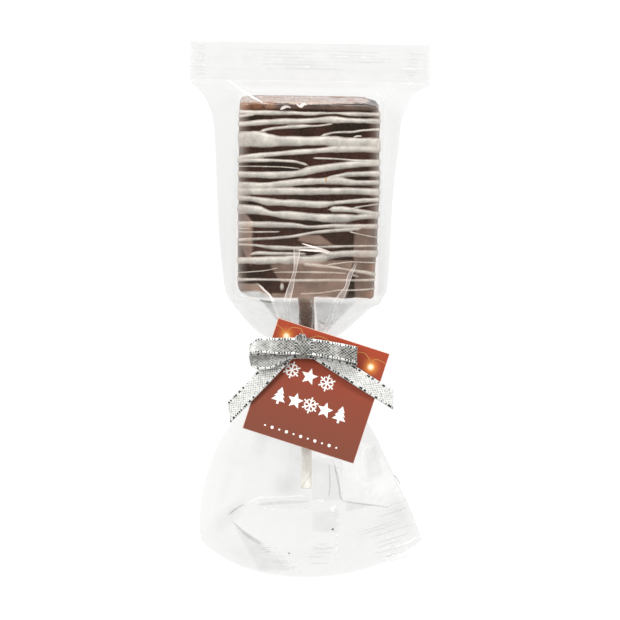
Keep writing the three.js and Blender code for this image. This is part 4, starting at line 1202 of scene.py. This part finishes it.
# The ribbon
def strip_object(name, places, widths, material, painted_light=0.5, cut=0.0, start=0.0, cols=10):
    """A woven strip with rounded selvedges along places; widths are vectors across, as long as it is wide.

    The brightness given for the metal thread, at each place or over the whole grid, is painted reflection and
    shade, and cut slants the strip's far end.
    """
    places = np.asarray(places, float)
    widths = np.broadcast_to(np.asarray(widths, float), places.shape)
    along = unit(np.gradient(places, axis=0))
    length = np.linalg.norm(widths, axis=1)
    across = widths / length[:, None]
    normal = unit(np.cross(along, across))
    share = np.linspace(-1, 1, cols + 1)
    lip = RIBBON_THICKNESS / 2 * (1 + 0.5 * ease((np.abs(share) - 0.8) / 0.2))
    loop_share = np.concatenate([share, share[::-1]])
    loop_lift = np.concatenate([lip, -lip[::-1]])
    points = (places[:, None] + across[:, None] * (loop_share[None, :, None] * length[:, None, None] / 2)
              + normal[:, None] * loop_lift[None, :, None])
    run = start + run_along(places)
    near_end = np.linspace(0, 1, len(places))[:, None] ** 3
    slant = cut * loop_share[None, :] * length[:, None] / 2 * near_end
    points += along[:, None] * slant[..., None]
    weave = np.zeros(points.shape)
    weave[..., 0] = run[:, None] + slant
    weave[..., 1] = loop_share[None, :] * RIBBON_WIDTH / 2
    painted_light = np.asarray(painted_light, float)
    weave[..., 2] = painted_light[:, np.r_[:cols + 1, cols:-1:-1]] if painted_light.ndim == 2 else painted_light.reshape(-1, 1)
    rows, around = points.shape[:2]
    flat = points.reshape(-1, 3)
    caps = []
    for row, order in ((0, 1), (rows - 1, -1)):
        for j in range(cols):
            quad = [row * around + j, row * around + j + 1,
                    row * around + around - 2 - j, row * around + around - 1 - j]
            caps.append(quad[::order])
    faces = np.concatenate([grid_quads(rows, around, True)[:, ::-1], np.array(caps)])
    obj = make_mesh(name, flat, faces, {"weave": weave.reshape(-1, 3)})
    return dress(obj, material, "ribbon_bow")


# How far from the knot's middle, towards the stick's end, the ribbon comes up through the tag's hole
RISER_BACK = 0.6
RISER_WIDTH = 2.6
BAND_WIDTH = 4.6
# How much higher than the knot's middle the loops start, and how bright the left and right loop are painted,
# as painted reflection
ROOT_RISE = 0.8
LOOP_PAINTED_LIGHT = {-1: 0.12, 1: 0.0}


def make_loop(name, material, side, reach, depth, fall_y, lift_z, hang):
    """A loop out to one side and back; hang is how far its back half lies below its front half."""
    turn = np.linspace(0, math.pi, 80)
    back = np.array([0, -math.sin(LOOP_TILT), -math.cos(LOOP_TILT)])
    across = np.array([0, math.cos(LOOP_TILT), -math.sin(LOOP_TILT)]) * RIBBON_WIDTH
    opening = np.maximum(np.sin(turn), 0)
    apart = -np.sign(np.cos(turn)) * np.abs(np.cos(turn)) ** 0.45 * depth / 2 * (0.1 + 0.9 * np.sqrt(opening))
    on_back = ease(-3 * np.cos(turn))
    fall = ROOT_RISE + fall_y * opening - hang * on_back * ease(opening / 0.6)
    shift = coords(side * reach * opening ** 0.8, fall, lift_z * np.sqrt(opening))
    places = KNOT + shift + apart[:, None] * back
    narrow = 1 - 0.14 * ease((opening - 0.3) / 0.5) * ease(np.cos(turn) * 4) * (side < 0)
    places[:, 1] += (1 - narrow) * RIBBON_WIDTH / 2
    pinch = 0.3 * ease((opening - 0.8) / 0.2) * (side < 0)
    places[:, 1] -= pinch * RIBBON_WIDTH / 2 * (1 - 1.6 * on_back)
    widths = across * (narrow - pinch)[:, None]
    # Painted reflection: a glint across each loop's front and the left loop's outer end are painted brighter,
    # and the back half is painted at a middle brightness
    outer_end = 0.55 * ease((opening - 0.55) / 0.4) if side < 0 else 0
    glint = 0.3 * np.exp(-((opening - 0.5) / 0.12) ** 2)
    painted_light = np.where(np.cos(turn) > 0, LOOP_PAINTED_LIGHT[side] + outer_end + glint, 0.5)
    return strip_object(name, places, widths, material, painted_light)


def make_tail(name, material, begin, end, arch, start, cut, near_painted_light):
    begin, end = np.array(begin), np.array(end)
    share = np.linspace(0, 1, 60)[:, None]
    places = mix(begin, end, share) + np.array([0, 0, 1.0]) * arch * np.sin(share * math.pi)
    heading = end - begin
    across = np.array([-heading[1], heading[0], 0])
    across *= RIBBON_WIDTH / np.linalg.norm(across)
    # Painted reflection: the tail is painted brighter towards its end
    painted_light = mix(near_painted_light, 0.95, ease((share[:, 0] - 0.2) / 0.5))
    return strip_object(name, places, across, material, painted_light, cut, start)


def make_knot(material):
    """The ribbon's turn over the middle of the bow: a gathered strip that bends round top to bottom."""
    turn = np.linspace(-0.62 * math.pi, 0.62 * math.pi, 50)
    places = KNOT + coords(0.25 * np.sin(turn), 3.9 * np.sin(turn), 2.5 * np.cos(turn) - 0.2)
    widths = coords(7 + 0.5 * np.cos(turn), 0.3 * np.cos(turn), 0)
    share = np.linspace(-1, 1, 31)
    # Painted shade: the knot is dark in the folds at both its sides
    painted_light = 0.1 - 0.6 * np.exp(-((np.abs(share) - 0.86) / 0.1) ** 2)
    painted_light = np.tile(painted_light, (len(turn), 1))
    obj = strip_object("ribbon_knot", places, widths, material, painted_light, start=60, cols=30)
    mesh = obj.data
    points = np.empty(len(mesh.vertices) * 3)
    mesh.vertices.foreach_get("co", points)
    points = points.reshape(-1, 3) / MM
    share = (points[:, 0] - KNOT[0]) / 3.9
    front = ease((points[:, 2] - KNOT[2]) / 2)
    points[:, 2] += front * (-1.3 * np.abs(share) ** 3 + 0.3 * np.cos(share * 9))
    mesh.vertices.foreach_set("co", (points * MM).ravel())
    mesh.update()
    return obj


def make_gather(material):
    """The ribbon's gathered edge that stands up behind the knot."""
    share = np.linspace(0, 1, 40)
    rise = 3.5 + 0.9 * np.sin(share * math.pi) + 0.25 * np.sin(share * 19)
    places = KNOT + coords(-3.2 + 4.6 * share, rise, 0.9 + 0.5 * np.sin(share * 23))
    widths = coords(0, 1.6 + 0.9 * np.sin(share * math.pi), 0.9 * np.cos(share * 21))
    # Painted reflection and shade: stripes of brighter and darker thread along the gather
    painted_light = 0.35 + 0.5 * np.sin(share * 31)
    return strip_object("ribbon_gather", places, widths, material, painted_light, start=110)


def make_band(material):
    """The band round the neck, and the two strips that rise from it through the tag's hole."""
    turn = np.linspace(0, 2 * math.pi, 97)
    radius = NECK_RADIUS + 0.75
    places = coords(radius * np.sin(turn), NECK_Y, SEAM_Z + radius * np.cos(turn))
    strip_object("ribbon_band", places, (0, BAND_WIDTH, 0), material, 0.4, start=80, cols=12)
    rise = np.linspace(0, 1, 24)[:, None]
    low = np.array([KNOT[0], NECK_Y + 1.5, SEAM_Z + NECK_RADIUS + 0.8])
    high = np.array([KNOT[0], KNOT[1] - RISER_BACK, KNOT[2] - 0.5])
    route = mix(low, high, rise) + np.array([0, 0.9, 0]) * np.sin(rise * math.pi)
    for part, shift in (("left", -0.5), ("right", 0.5)):
        places = route + np.array([shift, 0, 0])
        strip_object(f"ribbon_riser_{part}", places, (RISER_WIDTH, 0, 0), material, 0.3, start=95, cols=4)


# The tag, in its own plane: x to the right and y up along the card's sides
TAG_BULBS = [(-17.2, 16.6), (16.9, 15.2)]
TAG_WIRE = [
    (-22.1, 19.6), (-20.4, 19.2), (-18.2, 17.9), (-17.4, 18.4), (-16.2, 20.4), (-13.1, 21), (-11.4, 19.4),
    (-9.5, 18.2), (-7.7, 19.2), (-5.8, 20.3), (-3.4, 20.4), (0, 19.4), (4, 17.4), (7.5, 17.4), (9.9, 18.9),
    (12.8, 19.6), (15.6, 17.8), (16.6, 16.8), (17.4, 18.4), (18.8, 18.7), (22.1, 18.2),
]
WIRE_HALF_WIDTH = 0.09
# How far the print lies over the card, and each of its shapes over the one before
TAG_INK_LIFT = 0.03
PRINT_STEP = 0.0005


def on_tag(points, height=0.0):
    """From the card's own plane to its place, at a height over the card's middle."""
    z = np.zeros(points.shape[:-1]) + height
    return np.concatenate([turned_by(points, TAG_TURN), z[..., None]], -1) + TAG_CENTRE


def make_tag(material):
    """A card with soft edges and a round hole: rings from the hole out to the square outline."""
    cols = 160
    hole = turned_by(np.array([KNOT[0], KNOT[1] - RISER_BACK]) - TAG_CENTRE[:2], -TAG_TURN)
    half = TAG_SIDE / 2
    rim = np.linspace(0, 8, cols, endpoint=False)
    u = ((rim + 1) % 2) - 1
    turn = np.floor((rim + 1) / 2) * math.pi / 2
    square = coords(np.cos(turn) - u * np.sin(turn), np.sin(turn) + u * np.cos(turn)) * half
    angle = np.arctan2(square[:, 1] - hole[1], square[:, 0] - hole[0])
    circle = hole + TAG_HOLE_RADIUS * coords(np.cos(angle), np.sin(angle))
    bevel = 0.1
    thick = TAG_THICKNESS / 2
    inner = square * (1 - bevel / half)
    front = [(mix(circle, inner, share), thick) for share in np.linspace(0.04, 1, 26)]
    back = [(mix(circle, inner, share), -thick) for share in np.linspace(1, 0.04, 26)]
    sides = [(square, thick - bevel), (square, bevel - thick)]
    rings = [(circle, -thick), (circle, thick)] + front + sides + back
    flat = np.stack([coords(ring[:, 0], ring[:, 1], z) for ring, z in rings])
    points = on_tag(flat, flat[..., 2])
    faces = grid_quads(len(rings), cols, True, True)[:, ::-1]
    obj = make_mesh("tag_sheet", points, faces, {"card": flat}, smooth=False)
    return dress(obj, material, "gift_tag")


def star_outline(points, radius, waist):
    turn = np.arange(2 * points) * math.pi / points + math.pi / 2
    reach = np.where(np.arange(2 * points) % 2, waist, 1) * radius
    return coords(reach * np.cos(turn), reach * np.sin(turn))


def bar_outline(length, width, out, turn):
    """A small rectangle that starts at a distance from the middle, turned round it."""
    half = width / 2
    flat = np.array([(out, -half), (out + length, -half), (out + length, half), (out, half)])
    return turned_by(flat, turn)


def snowflake(radius):
    shapes = []
    for arm in range(6):
        turn = arm * math.pi / 3 + math.pi / 6
        shapes.append(bar_outline(radius, radius * 0.17, 0, turn))
        for side in (-1, 1):
            twig = bar_outline(radius * 0.38, radius * 0.14, 0, side * math.pi / 3)
            twig = twig + np.array([radius * 0.5, 0])
            shapes.append(turned_by(twig, turn))
    return shapes


def fir_tree(radius):
    shapes = [np.array([(-0.13, -1), (0.13, -1), (0.13, -0.6), (-0.13, -0.6)]) * radius]
    for foot, top, half in ((-0.62, 0.3, 0.82), (-0.12, 0.68, 0.62), (0.35, 1.05, 0.42)):
        shapes.append(np.array([(-half, foot), (half, foot), (0, top)]) * radius)
    return shapes


def disc(radius):
    return star_outline(10, radius, 1)


def make_print(name, outlines, height, material):
    """Flat shapes just above the card, each an outline that its own middle can see all of."""
    fans = []
    for order, outline in enumerate(outlines):
        n = len(outline)
        flat = np.concatenate([outline, [outline.mean(axis=0)]])
        j = np.arange(n)
        fan = coords(j, (j + 1) % n, n)
        fans.append((on_tag(flat, height + PRINT_STEP * order), fan))
    obj = make_mesh(name, *join(fans), smooth=False)
    return dress(obj, material, "gift_tag")


def make_prints():
    """Generic festive shapes in three rows, and a string of lights, in print on the card."""
    white = []
    star, flake, tree = [star_outline(5, 1, 0.45)], snowflake(1), fir_tree(1)
    for shapes, x, y, size in (
        (flake, -11.2, 4.9, 3.3), (star, -4.1, 4.5, 3.4), (flake, 3, 4.2, 3.3),
        (tree, -12.6, -5.9, 3.3), (star, -6.3, -6.0, 3.2), (flake, -0.4, -5.9, 3.2),
        (star, 5.5, -6.0, 3.2), (tree, 11.6, -5.9, 3.3),
    ):
        white += [shape * size + np.array([x, y]) for shape in shapes]
    for n in range(11):
        white.append(disc(0.62 if n % 2 else 0.38) + np.array([-14.4 + 2.85 * n, -18.4]))
    lift = TAG_THICKNESS / 2 + TAG_INK_LIFT
    make_print("tag_shapes", white, lift, print_material("white_ink", colour(252, 248, 242)))
    path = np.array(TAG_WIRE)
    line = path_at(np.arange(len(path)), path, np.linspace(0, len(path) - 1, 160))
    wires = []
    for start, end in zip(line[:-1], line[1:]):
        way = end - start
        side = np.array([-way[1], way[0]]) / np.hypot(*way) * WIRE_HALF_WIDTH
        wires.append(np.array([start - side, end - side, end + side, start + side]))
    make_print("tag_wires", wires, lift, print_material("wire_ink", colour(206, 160, 86)))
    cores = [disc(0.85) + np.array(bulb) for bulb in TAG_BULBS]
    make_print("tag_bulbs", cores, lift + 0.01, print_material("bulb_ink", colour(255, 246, 214)))


# The studio: half the floor's side, how far the floor lies below the pop, and its own light
FLOOR_HALF = 4000.0
FLOOR_DEPTH = 0.02
FLOOR_GLOW = 0.93


def make_stage():
    """White paper that glows a little, so that it stays white, with a soft shadow where things touch it."""
    steps = 24
    grid = np.linspace(-FLOOR_HALF, FLOOR_HALF, steps)
    y, x = np.meshgrid(grid, grid, indexing="ij")
    points = coords(x, y, -FLOOR_DEPTH)
    floor = make_mesh("studio_floor", points, grid_quads(steps, steps))
    look = Shader("floor_paper")
    glow = look.add("Emission", {"Color": (1, 1, 1, 1), "Strength": FLOOR_GLOW})
    paper = look.add("BsdfDiffuse", {"Color": (0.12, 0.12, 0.12, 1)})
    both = look.add("AddShader", {0: glow.outputs[0], 1: paper.outputs[0]})
    floor.data.materials.append(look.finish(both.outputs[0]))


def area_light(name, place, aim, size, power):
    data = bpy.data.lights.new(name, "AREA")
    data.shape = "RECTANGLE"
    data.size, data.size_y = size[0] * MM, size[1] * MM
    data.energy = power
    light = bpy.data.objects.new(name, data)
    light.location = Vector(np.array(place) + MIDDLE_SHIFT) * MM
    light.rotation_euler = (Vector(aim) - Vector(place)).to_track_quat("-Z", "Y").to_euler()
    bpy.context.collection.objects.link(light)


def make_lights():
    """Soft lights from three sides under a sky that darkens overhead, so that gloss shows its shapes."""
    world = bpy.data.worlds.new("studio")
    world.use_nodes = True
    bpy.context.scene.world = world
    tree = world.node_tree
    height = tree.nodes.new("ShaderNodeSeparateXYZ")
    tree.links.new(tree.nodes.new("ShaderNodeTexCoord").outputs["Generated"], height.inputs[0])
    dim = tree.nodes.new("ShaderNodeMapRange")
    for key, value in (("From Min", 0.25), ("From Max", 0.95), ("To Min", 0.75), ("To Max", 0.12)):
        dim.inputs[key].default_value = value
    tree.links.new(height.outputs["Z"], dim.inputs["Value"])
    background = tree.nodes["Background"]
    background.inputs["Color"].default_value = (1, 1, 1, 1)
    tree.links.new(dim.outputs["Result"], background.inputs["Strength"])
    area_light("softbox_left", (-700, 500, 900), (0, 20, 10), (600, 400), 9)
    area_light("softbox_top", (100, 1100, 800), (0, 20, 10), (900, 300), 12.5)
    area_light("strip_right", (900, -200, 700), (0, 0, 10), (400, 800), 4.5)


def make_camera():
    scene = bpy.context.scene
    data = bpy.data.cameras.new("camera")
    data.sensor_width = SENSOR
    data.lens = SENSOR * CAMERA_DISTANCE / (PIXEL * FRAME_PIXELS)
    data.clip_start, data.clip_end = 0.05, 20
    camera = bpy.data.objects.new("camera", data)
    back = Vector((0, math.sin(CAMERA_TILT), math.cos(CAMERA_TILT)))
    camera.location = (Vector(CAMERA_TARGET + MIDDLE_SHIFT) + back * CAMERA_DISTANCE) * MM
    up = Vector((0, 1, 0))
    right = up.cross(back).normalized()
    up = back.cross(right)
    turned_right = right * math.cos(CAMERA_ROLL) + up * math.sin(CAMERA_ROLL)
    turned_up = up * math.cos(CAMERA_ROLL) - right * math.sin(CAMERA_ROLL)
    camera.rotation_euler = Matrix((turned_right, turned_up, back)).transposed().to_euler()
    bpy.context.collection.objects.link(camera)
    scene.camera = camera
    scene.view_settings.view_transform = "Standard"
    scene.view_settings.look = "None"


make_camera()
make_stage()
make_lights()

chocolate = chocolate_material()
silver = ribbon_material()
make_bar(chocolate)
make_drizzle(drizzle_material())
make_collar(chocolate)
make_stick(paper_material())
film_look = film_material()
make_folds(make_film(film_look), film_look)
make_crumbs(chocolate)
make_loop("ribbon_loop_left", silver, -1, 20.4, 5.4, -0.8, 1.2, 4.9)
make_loop("ribbon_loop_right", silver, 1, 20.3, 4.4, -3.1, 0.8, 0.7)
make_gather(silver)
make_tail("ribbon_tail_left", silver, (-3.8, -11.4, 24.8), (-28.8, -38.9, 23.4), 1.0, 120, 0.85, 0.35)
make_tail("ribbon_tail_right", silver, (1.6, -13, 24.8), (33.5, -32.9, 23.6), 1.0, 170, -0.64, 0.8)
make_knot(silver)
make_band(silver)
make_tag(tag_material())
make_prints()

bpy.context.view_layer.update()
